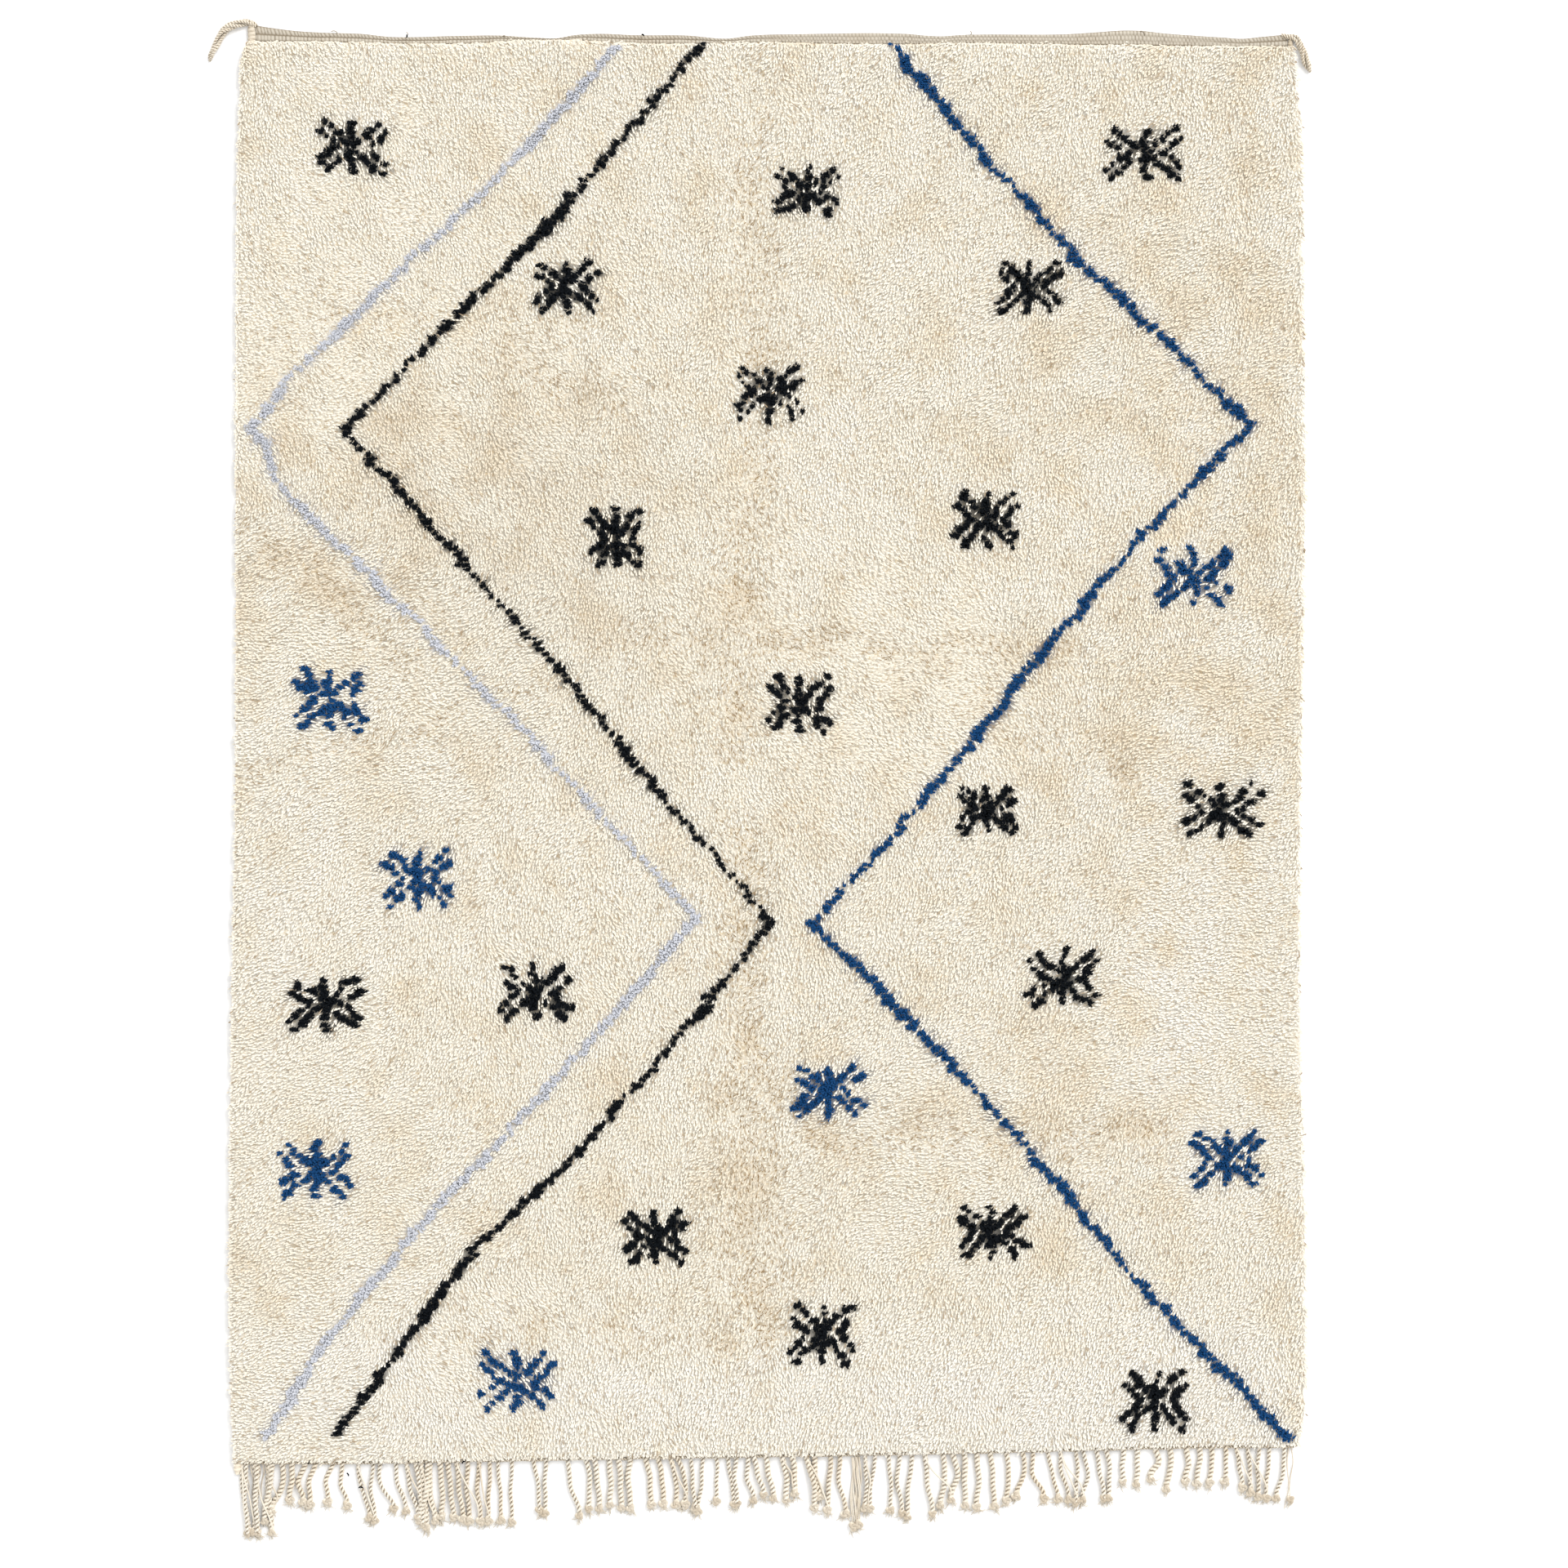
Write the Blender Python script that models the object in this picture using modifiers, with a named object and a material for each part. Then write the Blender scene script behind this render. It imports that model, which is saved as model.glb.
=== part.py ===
# A hand-knotted wool rug lying flat: a thick pile field with an overcast roll down each long
# side, a flat-woven heading across the top end, a knotted cord fringe along the bottom end
# and a loose yarn tassel at each top corner.
#
# Metres. +X is to the rug's right and +Y towards the heading, seen from above. Z = 0 is the
# plane that the rug lies on, and the origin is the middle of the field's underside.

import math
from collections import namedtuple

import bmesh
import bpy
import numpy as np
from mathutils import Matrix

# ---------------------------------------------------------------- driving dimensions

FIELD_THICKNESS = 0.017       # ground weave and standing pile together
FIELD_SHOULDER = 0.006        # how far the pile rounds over at the top of its edges
FIELD_SHOULDER_STEPS = 3
SEWN_GAP = 0.0003             # clearance between neighbouring pieces
ROLL_GAP = 0.0006             # clearance along the edge rolls, whose path bends

LEFT_ROLL_WIDTH = 0.012       # overcast edge rolls, flattened as they lie
RIGHT_ROLL_WIDTH = 0.008
ROLL_FLATTENING = 0.75

HEADING_THICKNESS = 0.0035
HEADING_INSET = 0.0004        # from the rolls that pass its two ends

CORD_RADIUS = 0.0031          # a two-ply fringe cord
KNOT_RADIUS = 0.0050
TUFT_RADIUS = 0.0030          # the frayed end below the knot
KNOT_TO_END = 0.0100          # from the middle of the knot to the end of its tuft
NECK_TO_KNOT = 0.0055         # from the middle of the knot up to the bare cord
CORD_SWAY = 0.0030            # how far a cord's middle strays sideways
DROP_SCATTER = 0.0030         # how far neighbouring cords differ in length
CORD_FOOT_DEPTH = 0.0025      # how far a cord is held inside its braid
BRAID_END_GAP = 0.0009        # from the rolls that pass the two ends of the braid
BRAID_WIDTH = 0.0050          # the twined line that the cords hang from
BRAID_THICKNESS = 0.0030

EDGE_STEP = 0.070             # spacing of the points along the long outlines
ROUND_RESOLUTION = 2          # eight-sided rolls and tassels
CORD_RESOLUTION = 1           # six-sided fringe cords
WELD_DISTANCE = 0.00001

# ---------------------------------------------------------------- outlines

Spot = namedtuple("Spot", "x y")

# The outer edge of each long side, from the heading down to the fringe.
LEFT_SIDE = (
    Spot(-0.7330, 0.991), Spot(-0.7390, 0.977), Spot(-0.7435, 0.914), Spot(-0.7487, 0.569),
    Spot(-0.7490, 0.017), Spot(-0.7515, -0.190), Spot(-0.7544, -0.328), Spot(-0.7580, -0.811),
    Spot(-0.7550, -0.949), Spot(-0.7515, -1.004),
)
RIGHT_SIDE = (
    Spot(0.7400, 0.991), Spot(0.7430, 0.943), Spot(0.7487, 0.880), Spot(0.7530, 0.569),
    Spot(0.7544, 0.362), Spot(0.7504, 0.086), Spot(0.7475, -0.190), Spot(0.7475, -0.397),
    Spot(0.7544, -0.673), Spot(0.7550, -0.880), Spot(0.7520, -0.949), Spot(0.7440, -0.982),
)

# The seam under the heading, the heading's free edge, and the lower edge of the field.
SEAM = (
    Spot(-0.733, 0.9925), Spot(-0.391, 0.9913), Spot(-0.069, 0.9890), Spot(0.299, 0.9920),
    Spot(0.740, 0.9910),
)
HEADING_EDGE = (
    Spot(-0.733, 1.0200), Spot(-0.690, 1.0109), Spot(-0.621, 1.0063), Spot(-0.391, 1.0017),
    Spot(-0.069, 0.9999), Spot(0.034, 1.0040), Spot(0.471, 1.0050), Spot(0.564, 1.0028),
    Spot(0.644, 1.0017), Spot(0.740, 1.0055),
)
LOWER_EDGE = (
    Spot(-0.752, -1.0050), Spot(-0.563, -1.0050), Spot(-0.437, -1.0025), Spot(-0.069, -0.9966),
    Spot(0.276, -0.9907), Spot(0.609, -0.9830), Spot(0.744, -0.9820),
)

# Where the rolls run past the field: up beside the heading, and down into the fringe.
LEFT_ROLL_TOP = Spot(-0.7270, 1.0180)
LEFT_ROLL_FOOT = Spot(-0.7468, -1.0230)
RIGHT_ROLL_TOP = Spot(0.7360, 0.9975)
RIGHT_ROLL_FOOT = Spot(0.7405, -0.9838)

# ---------------------------------------------------------------- tassels and fringe

Bend = namedtuple("Bend", "x y radius")

# Each corner tassel leaves the end of its roll, arches outwards and trails down to a point.
LEFT_TASSEL = (
    Bend(-0.7280, 1.0237, 0.0048), Bend(-0.7410, 1.0235, 0.0055), Bend(-0.7560, 1.0180, 0.0058),
    Bend(-0.7680, 1.0070, 0.0058), Bend(-0.7760, 0.9920, 0.0054), Bend(-0.7810, 0.9780, 0.0042),
    Bend(-0.7860, 0.9660, 0.0016),
)
RIGHT_TASSEL = (
    Bend(0.7325, 1.0018, 0.0030), Bend(0.7425, 1.0015, 0.0034), Bend(0.7495, 0.9935, 0.0037),
    Bend(0.7540, 0.9830, 0.0038), Bend(0.7625, 0.9655, 0.0028), Bend(0.7680, 0.9560, 0.0012),
)

# The fringe hangs in bunches. A row gives the first and last foot of a bunch along the lower
# edge, the number of cords, where its first and last tips lie, and the Y of its tips.
Bunch = namedtuple("Bunch", "foot_a foot_b cords tip_a tip_b tip_y")

FRINGE = (
    Bunch(-0.7355, -0.7000, 4, -0.7320, -0.6980, -1.113),
    Bunch(-0.6840, -0.6370, 4, -0.6865, -0.6460, -1.066),
    Bunch(-0.6140, -0.5990, 2, -0.6210, -0.5920, -1.064),
    Bunch(-0.5760, -0.5440, 3, -0.5630, -0.5220, -1.084),
    Bunch(-0.5240, -0.4795, 4, -0.5090, -0.4820, -1.096),
    Bunch(-0.4600, -0.3910, 6, -0.4560, -0.3920, -1.091),
    Bunch(-0.3780, -0.3610, 2, -0.3740, -0.3600, -1.093),
    Bunch(-0.3300, -0.3110, 2, -0.3220, -0.3120, -1.084),
    Bunch(-0.2820, -0.2820, 1, -0.2640, -0.2640, -1.086),
    Bunch(-0.2540, -0.1940, 5, -0.2510, -0.1930, -1.076),
    Bunch(-0.1710, -0.0910, 6, -0.1640, -0.0960, -1.072),
    Bunch(-0.0740, -0.0390, 3, -0.0700, -0.0460, -1.065),
    Bunch(-0.0230, 0.0340, 5, -0.0200, 0.0380, -1.056),
    Bunch(0.0520, 0.1050, 4, 0.0640, 0.1060, -1.073),
    Bunch(0.1220, 0.1220, 1, 0.1240, 0.1240, -1.110),
    Bunch(0.1370, 0.2040, 5, 0.1350, 0.1980, -1.082),
    Bunch(0.2230, 0.2610, 3, 0.2350, 0.2630, -1.079),
    Bunch(0.2780, 0.3330, 4, 0.2780, 0.3360, -1.071),
    Bunch(0.3550, 0.3740, 2, 0.3500, 0.3890, -1.064),
    Bunch(0.3930, 0.4430, 4, 0.4110, 0.4450, -1.066),
    Bunch(0.4620, 0.4770, 2, 0.4690, 0.4810, -1.061),
    Bunch(0.5000, 0.6450, 8, 0.5000, 0.6420, -1.041),
    Bunch(0.6600, 0.7240, 5, 0.6670, 0.7140, -1.062),
    Bunch(0.7320, 0.7320, 1, 0.7360, 0.7360, -1.074),
)

# ---------------------------------------------------------------- finishes

Finish = namedtuple("Finish", "name colour roughness")

PILE_WOOL = Finish("Cream pile wool", (0.84, 0.76, 0.62, 1.0), 0.95)
FLAT_WEAVE = Finish("Greyish flat weave", (0.68, 0.62, 0.52, 1.0), 0.92)
OVERCAST_WOOL = Finish("Overcasting wool", (0.78, 0.70, 0.57, 1.0), 0.92)
FRINGE_CORD = Finish("Fringe cord", (0.76, 0.66, 0.49, 1.0), 0.88)
TASSEL_YARN = Finish("Tassel yarn", (0.72, 0.64, 0.52, 1.0), 0.88)


def make_material(finish):
    material = bpy.data.materials.new(finish.name)
    material.use_nodes = True
    shader = material.node_tree.nodes["Principled BSDF"]
    shader.inputs["Base Color"].default_value = finish.colour
    shader.inputs["Roughness"].default_value = finish.roughness
    shader.inputs["Metallic"].default_value = 0.0
    return material


# ---------------------------------------------------------------- lines through the tables


def slopes(at, value):
    """The slope at each row: the mean of its two neighbours' slopes, and one-sided at the ends."""
    rise = np.diff(value) / np.diff(at)
    return np.concatenate([rise[:1], (rise[:-1] + rise[1:]) / 2, rise[-1:]])


def smooth(at, rows_at, rows_value):
    """A cubic Hermite curve through the rows of a table, read at the places in `at`."""
    order = np.argsort(rows_at)
    known, value = np.asarray(rows_at)[order], np.asarray(rows_value)[order]
    slope = slopes(known, value)
    place = np.clip(np.searchsorted(known, at) - 1, 0, len(known) - 2)
    span = known[place + 1] - known[place]
    t = (at - known[place]) / span
    return (
        value[place] * (2 * t**3 - 3 * t**2 + 1)
        + slope[place] * span * (t**3 - 2 * t**2 + t)
        + value[place + 1] * (3 * t**2 - 2 * t**3)
        + slope[place + 1] * span * (t**3 - t**2)
    )


def across(table, x):
    """The Y of an edge that runs across the rug, at the places x."""
    return smooth(np.asarray(x, float), [s.x for s in table], [s.y for s in table])


def down(table, y):
    """The X of an edge that runs down the rug, at the places y."""
    return smooth(np.asarray(y, float), [s.y for s in table], [s.x for s in table])


def stations(first, last):
    """Evenly spaced places from first to last, about EDGE_STEP apart."""
    return np.linspace(first, last, max(2, round(abs(last - first) / EDGE_STEP) + 1))


# ---------------------------------------------------------------- shapes


def link(obj, collection, material):
    obj.data.materials.append(material)
    collection.objects.link(obj)
    return obj


def mesh_from_curve(curve, name):
    """Turns a curve into a mesh with its caps welded on."""
    helper = bpy.data.objects.new(name + "_line", curve)
    bpy.context.scene.collection.objects.link(helper)
    view = bpy.context.evaluated_depsgraph_get()
    mesh = bpy.data.meshes.new_from_object(helper.evaluated_get(view))
    bpy.data.objects.remove(helper)
    bpy.data.curves.remove(curve)
    mesh.name = name
    work = bmesh.new()
    work.from_mesh(mesh)
    bmesh.ops.remove_doubles(work, verts=work.verts, dist=WELD_DISTANCE)
    bmesh.ops.recalc_face_normals(work, faces=work.faces)
    work.to_mesh(mesh)
    work.free()
    return mesh


def flat_mesh(name, outline, thickness):
    """A flat piece of the outline's shape, from Z = 0 up to its thickness."""
    curve = bpy.data.curves.new(name, "CURVE")
    curve.dimensions = "2D"
    curve.fill_mode = "BOTH"
    curve.extrude = thickness / 2
    line = curve.splines.new("POLY")
    line.points.add(len(outline) - 1)
    for point, (x, y) in zip(line.points, outline):
        point.co = (x, y, 0.0, 1.0)
    line.use_cyclic_u = True
    mesh = mesh_from_curve(curve, name)
    mesh.transform(Matrix.Translation((0.0, 0.0, thickness / 2)))
    return mesh


def round_mesh(name, route, resolution):
    """A tube through (x, y, z, radius) points, closed at both ends."""
    curve = bpy.data.curves.new(name, "CURVE")
    curve.dimensions = "3D"
    curve.bevel_depth = 1.0
    curve.bevel_resolution = resolution
    curve.use_fill_caps = True
    line = curve.splines.new("POLY")
    line.points.add(len(route) - 1)
    for point, (x, y, z, radius) in zip(line.points, route):
        point.co = (x, y, z, 1.0)
        point.radius = radius
    return mesh_from_curve(curve, name)


def shade_round(mesh, sharp_degrees=50):
    mesh.shade_smooth()
    mesh.set_sharp_from_angle(angle=math.radians(sharp_degrees))


# ---------------------------------------------------------------- pieces


def make_field(collection):
    """The pile field: one flat slab, rounded over along the top of all four edges."""
    left_in = LEFT_ROLL_WIDTH + ROLL_GAP
    right_in = RIGHT_ROLL_WIDTH + ROLL_GAP
    top_x = stations(LEFT_SIDE[0].x + left_in, RIGHT_SIDE[0].x - right_in)
    low_x = stations(RIGHT_SIDE[-1].x - right_in, LEFT_SIDE[-1].x + left_in)
    right_y = stations(RIGHT_SIDE[0].y, RIGHT_SIDE[-1].y)[1:-1]
    left_y = stations(LEFT_SIDE[-1].y, LEFT_SIDE[0].y)[1:-1]
    outline = [
        *zip(top_x, across(SEAM, top_x) - SEWN_GAP),
        *zip(down(RIGHT_SIDE, right_y) - right_in, right_y),
        *zip(low_x, across(LOWER_EDGE, low_x)),
        *zip(down(LEFT_SIDE, left_y) + left_in, left_y),
    ]
    mesh = flat_mesh("pile_field", outline, FIELD_THICKNESS)
    weights = mesh.attributes.new("bevel_weight_edge", "FLOAT", "EDGE")
    for edge, weight in zip(mesh.edges, weights.data):
        a, b = (mesh.vertices[i].co for i in edge.vertices)
        on_top = min(a.z, b.z) > FIELD_THICKNESS / 2
        beside = [p for p in mesh.polygons if edge.key in p.edge_keys] if on_top else []
        weight.value = float(any(abs(p.normal.z) < 0.5 for p in beside))
    field = bpy.data.objects.new("pile_field", mesh)
    shoulder = field.modifiers.new("Shoulder", "BEVEL")
    shoulder.limit_method = "WEIGHT"
    shoulder.width = FIELD_SHOULDER
    shoulder.segments = FIELD_SHOULDER_STEPS
    return link(field, collection, make_material(PILE_WOOL))


def make_heading(collection):
    """The flat-woven band between the seam and the rug's top edge."""
    left = LEFT_SIDE[0].x + LEFT_ROLL_WIDTH + HEADING_INSET
    right = RIGHT_SIDE[0].x - RIGHT_ROLL_WIDTH - HEADING_INSET
    x = stations(left, right)
    outline = [*zip(x, across(HEADING_EDGE, x)), *zip(x[::-1], across(SEAM, x[::-1]))]
    mesh = flat_mesh("top_heading", outline, HEADING_THICKNESS)
    return link(bpy.data.objects.new("top_heading", mesh), collection, make_material(FLAT_WEAVE))


def make_roll(collection, name, side, inwards, width, top, foot, material):
    """An overcast edge: a flattened roll that follows one long side."""
    y = stations(side[0].y, side[-1].y)
    x = down(side, y) + inwards * width / 2
    radius = width / 2
    route = [(top.x, top.y, radius, radius)]
    route += [(a, b, radius, radius) for a, b in zip(x, y)]
    route += [(foot.x, foot.y, radius, radius)]
    mesh = round_mesh(name, route, ROUND_RESOLUTION)
    mesh.transform(Matrix.Diagonal((1.0, 1.0, ROLL_FLATTENING, 1.0)))
    shade_round(mesh)
    return link(bpy.data.objects.new(name, mesh), collection, material)


def make_tassel(collection, name, bends, material):
    """A loose bundle of yarn lying on the floor, thinning to its tip."""
    route = [(b.x, b.y, b.radius, b.radius) for b in bends]
    mesh = round_mesh(name, route, ROUND_RESOLUTION)
    shade_round(mesh)
    return link(bpy.data.objects.new(name, mesh), collection, material)


def stray(number, salt):
    """A repeatable value from -1 to 1 for one cord of the fringe."""
    return math.sin(number * 12.9898 + salt * 4.1414)


def cord_routes():
    """For each fringe cord, its (x, y, z, radius) points from the braid to the frayed end."""
    routes = []
    for bunch in FRINGE:
        for place in np.linspace(0.0, 1.0, bunch.cords) if bunch.cords > 1 else (0.5,):
            n = len(routes)
            foot_x = bunch.foot_a + (bunch.foot_b - bunch.foot_a) * place
            tip_x = bunch.tip_a + (bunch.tip_b - bunch.tip_a) * place
            tip_y = bunch.tip_y + DROP_SCATTER * stray(n, 1)
            foot_y = float(across(LOWER_EDGE, foot_x)) - BRAID_WIDTH + CORD_FOOT_DEPTH
            knot_y = tip_y + KNOT_TO_END
            neck_y = knot_y + NECK_TO_KNOT
            middle_x = (foot_x * 0.6 + tip_x * 0.4) + CORD_SWAY * stray(n, 2)
            middle_y = (foot_y + neck_y) / 2
            routes.append([
                (foot_x, foot_y, CORD_RADIUS, CORD_RADIUS),
                (middle_x, middle_y, CORD_RADIUS, CORD_RADIUS),
                (tip_x, neck_y, CORD_RADIUS, CORD_RADIUS),
                (tip_x, knot_y, KNOT_RADIUS, KNOT_RADIUS),
                (tip_x + CORD_SWAY * stray(n, 3), tip_y, TUFT_RADIUS, TUFT_RADIUS),
            ])
    return routes


def make_fringe(collection, cutters):
    """One comb: the twined braid under the field, with every cord joined into it."""
    left = LEFT_SIDE[-1].x + LEFT_ROLL_WIDTH + BRAID_END_GAP
    right = RIGHT_SIDE[-1].x - RIGHT_ROLL_WIDTH - BRAID_END_GAP
    x = stations(left, right)
    top, low = across(LOWER_EDGE, x) - SEWN_GAP, across(LOWER_EDGE, x) - BRAID_WIDTH
    outline = [*zip(x, top), *zip(x[::-1], low[::-1])]
    fringe = bpy.data.objects.new("fringe", flat_mesh("fringe", outline, BRAID_THICKNESS))
    for number, route in enumerate(cord_routes()):
        name = f"cord_{number:02d}"
        cord = bpy.data.objects.new(name, round_mesh(name, route, CORD_RESOLUTION))
        cord.hide_render = True
        cord.display_type = "WIRE"
        cutters.objects.link(cord)
    join = fringe.modifiers.new("Join cords", "BOOLEAN")
    join.operation = "UNION"
    join.operand_type = "COLLECTION"
    join.collection = cutters
    return link(fringe, collection, make_material(FRINGE_CORD))


def main():
    for obj in list(bpy.data.objects):
        bpy.data.objects.remove(obj, do_unlink=True)
    rug = bpy.data.collections.new("Wool rug")
    cords = bpy.data.collections.new("Cutters")
    for collection in (rug, cords):
        bpy.context.scene.collection.children.link(collection)

    make_field(rug)
    make_heading(rug)
    make_roll(rug, "left_selvedge", LEFT_SIDE, 1, LEFT_ROLL_WIDTH,
              LEFT_ROLL_TOP, LEFT_ROLL_FOOT, make_material(OVERCAST_WOOL))
    make_roll(rug, "right_selvedge", RIGHT_SIDE, -1, RIGHT_ROLL_WIDTH,
              RIGHT_ROLL_TOP, RIGHT_ROLL_FOOT, make_material(OVERCAST_WOOL))
    make_tassel(rug, "left_tassel", LEFT_TASSEL, make_material(TASSEL_YARN))
    make_tassel(rug, "right_tassel", RIGHT_TASSEL, make_material(TASSEL_YARN))
    make_fringe(rug, cords)


main()
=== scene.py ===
import math

import bpy
import numpy as np
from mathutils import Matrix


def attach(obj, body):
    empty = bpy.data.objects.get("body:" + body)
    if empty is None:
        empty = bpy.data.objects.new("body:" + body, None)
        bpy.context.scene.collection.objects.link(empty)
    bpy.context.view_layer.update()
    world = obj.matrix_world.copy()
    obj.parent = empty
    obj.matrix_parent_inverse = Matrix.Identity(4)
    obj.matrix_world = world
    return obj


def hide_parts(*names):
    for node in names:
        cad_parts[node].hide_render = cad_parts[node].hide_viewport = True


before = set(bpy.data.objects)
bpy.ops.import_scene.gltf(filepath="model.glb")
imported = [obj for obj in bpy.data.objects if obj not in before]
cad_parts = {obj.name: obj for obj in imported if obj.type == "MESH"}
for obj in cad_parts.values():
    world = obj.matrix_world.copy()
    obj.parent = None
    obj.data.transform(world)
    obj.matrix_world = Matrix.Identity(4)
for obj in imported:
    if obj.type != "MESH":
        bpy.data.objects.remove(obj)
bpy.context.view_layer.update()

# A hand-knotted cream wool rug with dark star motifs and zigzag lines, lying flat and seen
# from above. Metres throughout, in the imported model's own frame: +X to the rug's right, +Y
# towards the woven heading, Z = 0 the floor.

# The rug's outline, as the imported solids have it: rows of x, y along each edge.
outline = {
    "left": [(-0.7330, 0.991), (-0.7390, 0.977), (-0.7435, 0.914), (-0.7487, 0.569),
             (-0.7490, 0.017), (-0.7515, -0.190), (-0.7544, -0.328), (-0.7580, -0.811),
             (-0.7550, -0.949), (-0.7515, -1.004)],
    "right": [(0.7400, 0.991), (0.7430, 0.943), (0.7487, 0.880), (0.7530, 0.569),
              (0.7544, 0.362), (0.7504, 0.086), (0.7475, -0.190), (0.7475, -0.397),
              (0.7544, -0.673), (0.7550, -0.880), (0.7520, -0.949), (0.7440, -0.982)],
    "seam": [(-0.733, 0.9930), (-0.620, 0.9925), (-0.550, 0.9908), (-0.430, 0.9899),
             (-0.370, 0.9930), (-0.300, 0.9954), (-0.270, 0.9952), (-0.220, 0.9916),
             (-0.100, 0.9902), (0.020, 0.9920), (0.080, 0.9901), (0.200, 0.9892),
             (0.280, 0.9910), (0.390, 0.9893), (0.510, 0.9877), (0.620, 0.9864),
             (0.680, 0.9853), (0.740, 0.9864)],
    # the heading's upper edge sags and bulges between its corners
    "heading": [(-0.733, 1.0190), (-0.713, 1.0156), (-0.667, 1.0094), (-0.621, 1.0066),
                (-0.575, 1.0053), (-0.529, 1.0008), (-0.437, 1.0023), (-0.377, 1.0028),
                (-0.327, 0.9997), (-0.297, 0.9990), (-0.273, 1.0033), (-0.237, 1.0052),
                (-0.186, 1.0033), (-0.113, 1.0028), (-0.058, 0.9985), (-0.023, 1.0028),
                (0.046, 1.0048), (0.195, 1.0051), (0.221, 1.0028), (0.246, 1.0017),
                (0.271, 1.0035), (0.421, 1.0047), (0.460, 1.0071), (0.501, 1.0098),
                (0.529, 1.0091), (0.558, 1.0058), (0.610, 1.0020), (0.644, 0.9998),
                (0.667, 0.9982), (0.696, 1.0009), (0.740, 1.0050)],
    "lower": [(-0.752, -1.0050), (-0.563, -1.0050), (-0.437, -1.0025), (-0.069, -0.9966),
              (0.276, -0.9907), (0.609, -0.9830), (0.744, -0.9820)],
    "leftRoll": 0.012,       # widths of the two overcast edges
    "rightRoll": 0.008,
    "rollGap": 0.0006,
    "seamGap": 0.0003,       # between the pile and the heading
}


def throughRows(rowsAt, rowsValue, at):
    # Cubic Hermite: between two rows the value leaves at one row's slope and arrives at the
    # next one's, each slope being the mean of the two spans beside it.
    order = np.argsort(rowsAt)
    known, value = np.asarray(rowsAt, float)[order], np.asarray(rowsValue, float)[order]
    rise = np.diff(value) / np.diff(known)
    slope = np.concatenate([rise[:1], (rise[:-1] + rise[1:]) / 2, rise[-1:]])
    row = np.clip(np.searchsorted(known, at) - 1, 0, len(known) - 2)
    span = known[row + 1] - known[row]
    t = (at - known[row]) / span
    return (value[row] * (2 * t**3 - 3 * t**2 + 1) + slope[row] * span * (t**3 - 2 * t**2 + t)
            + value[row + 1] * (3 * t**2 - 2 * t**3) + slope[row + 1] * span * (t**3 - t**2))


def edgeAcross(name, x):
    # the Y of an edge that runs across the rug
    rows = np.array(outline[name])
    return throughRows(rows[:, 0], rows[:, 1], np.asarray(x, float))


def edgeDown(name, y):
    # the X of an edge that runs down the rug
    rows = np.array(outline[name])
    return throughRows(rows[:, 1], rows[:, 0], np.asarray(y, float))


def fieldLeft(y):
    return edgeDown("left", y) + outline["leftRoll"] + outline["rollGap"]


def fieldRight(y):
    return edgeDown("right", y) - outline["rightRoll"] - outline["rollGap"]


def softWaves(x, y, size, seed):
    # Slow random hills from about -1 to 1: the sum of seven sine waves of about one size, each
    # running its own way, over the square root of their number.
    dice = np.random.default_rng(seed)
    waves = 7
    total = np.zeros(np.broadcast(x, y).shape)
    for _ in range(waves):
        way, phase = dice.uniform(0, 2 * math.pi, 2)
        length = size * dice.uniform(0.7, 1.6)
        total += np.sin((x * math.cos(way) + y * math.sin(way)) * 2 * math.pi / length + phase)
    return total / math.sqrt(waves * 1.6)


def wavesAlong(at, size, seed):
    # the same along one line
    return softWaves(at, 0 * at, size, seed)


def meshOf(name, points, faces):
    # points is one row for each corner point; faces is a list of index arrays, each array
    # holding faces of one number of corners.
    mesh = bpy.data.meshes.new(name)
    corners = np.concatenate([f.ravel() for f in faces]).astype(np.int32)
    sizes = np.concatenate([np.full(len(f), f.shape[1]) for f in faces])
    starts = np.concatenate([[0], np.cumsum(sizes)[:-1]]).astype(np.int32)
    mesh.vertices.add(len(points))
    mesh.vertices.foreach_set("co", np.ascontiguousarray(points, np.float32).ravel())
    mesh.loops.add(len(corners))
    mesh.loops.foreach_set("vertex_index", corners)
    mesh.polygons.add(len(sizes))
    mesh.polygons.foreach_set("loop_start", starts)
    mesh.update(calc_edges=True)
    return mesh


def setPointColours(mesh, name, rows):
    # rows holds red, green, blue and perhaps alpha for each point
    layer = mesh.attributes.new(name, "FLOAT_COLOR", "POINT")
    full = np.ones((len(rows), 4), np.float32)
    full[:, :rows.shape[1]] = rows
    layer.data.foreach_set("color", full.ravel())


def setMap(mesh, name, cornerUv):
    # a UV map, one row for each corner of each face
    layer = mesh.uv_layers.new(name=name)
    layer.data.foreach_set("uv", np.ascontiguousarray(cornerUv, np.float32).ravel())


def cornerPoints(mesh):
    # which point each corner of each face is
    corner = np.empty(len(mesh.loops), np.int32)
    mesh.loops.foreach_get("vertex_index", corner)
    return corner


def linked(name, data):
    obj = bpy.data.objects.new(name, data)
    bpy.context.scene.collection.objects.link(obj)
    return obj


def addPiece(mesh, material, replaced):
    obj = linked(mesh.name, mesh)
    mesh.materials.append(material)
    mesh.polygons.foreach_set("use_smooth", np.ones(len(mesh.polygons), bool))
    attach(obj, "root")
    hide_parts(replaced)
    print(f"{mesh.name}: {len(mesh.loops) - 2 * len(mesh.polygons)} triangles")
    return obj


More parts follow.
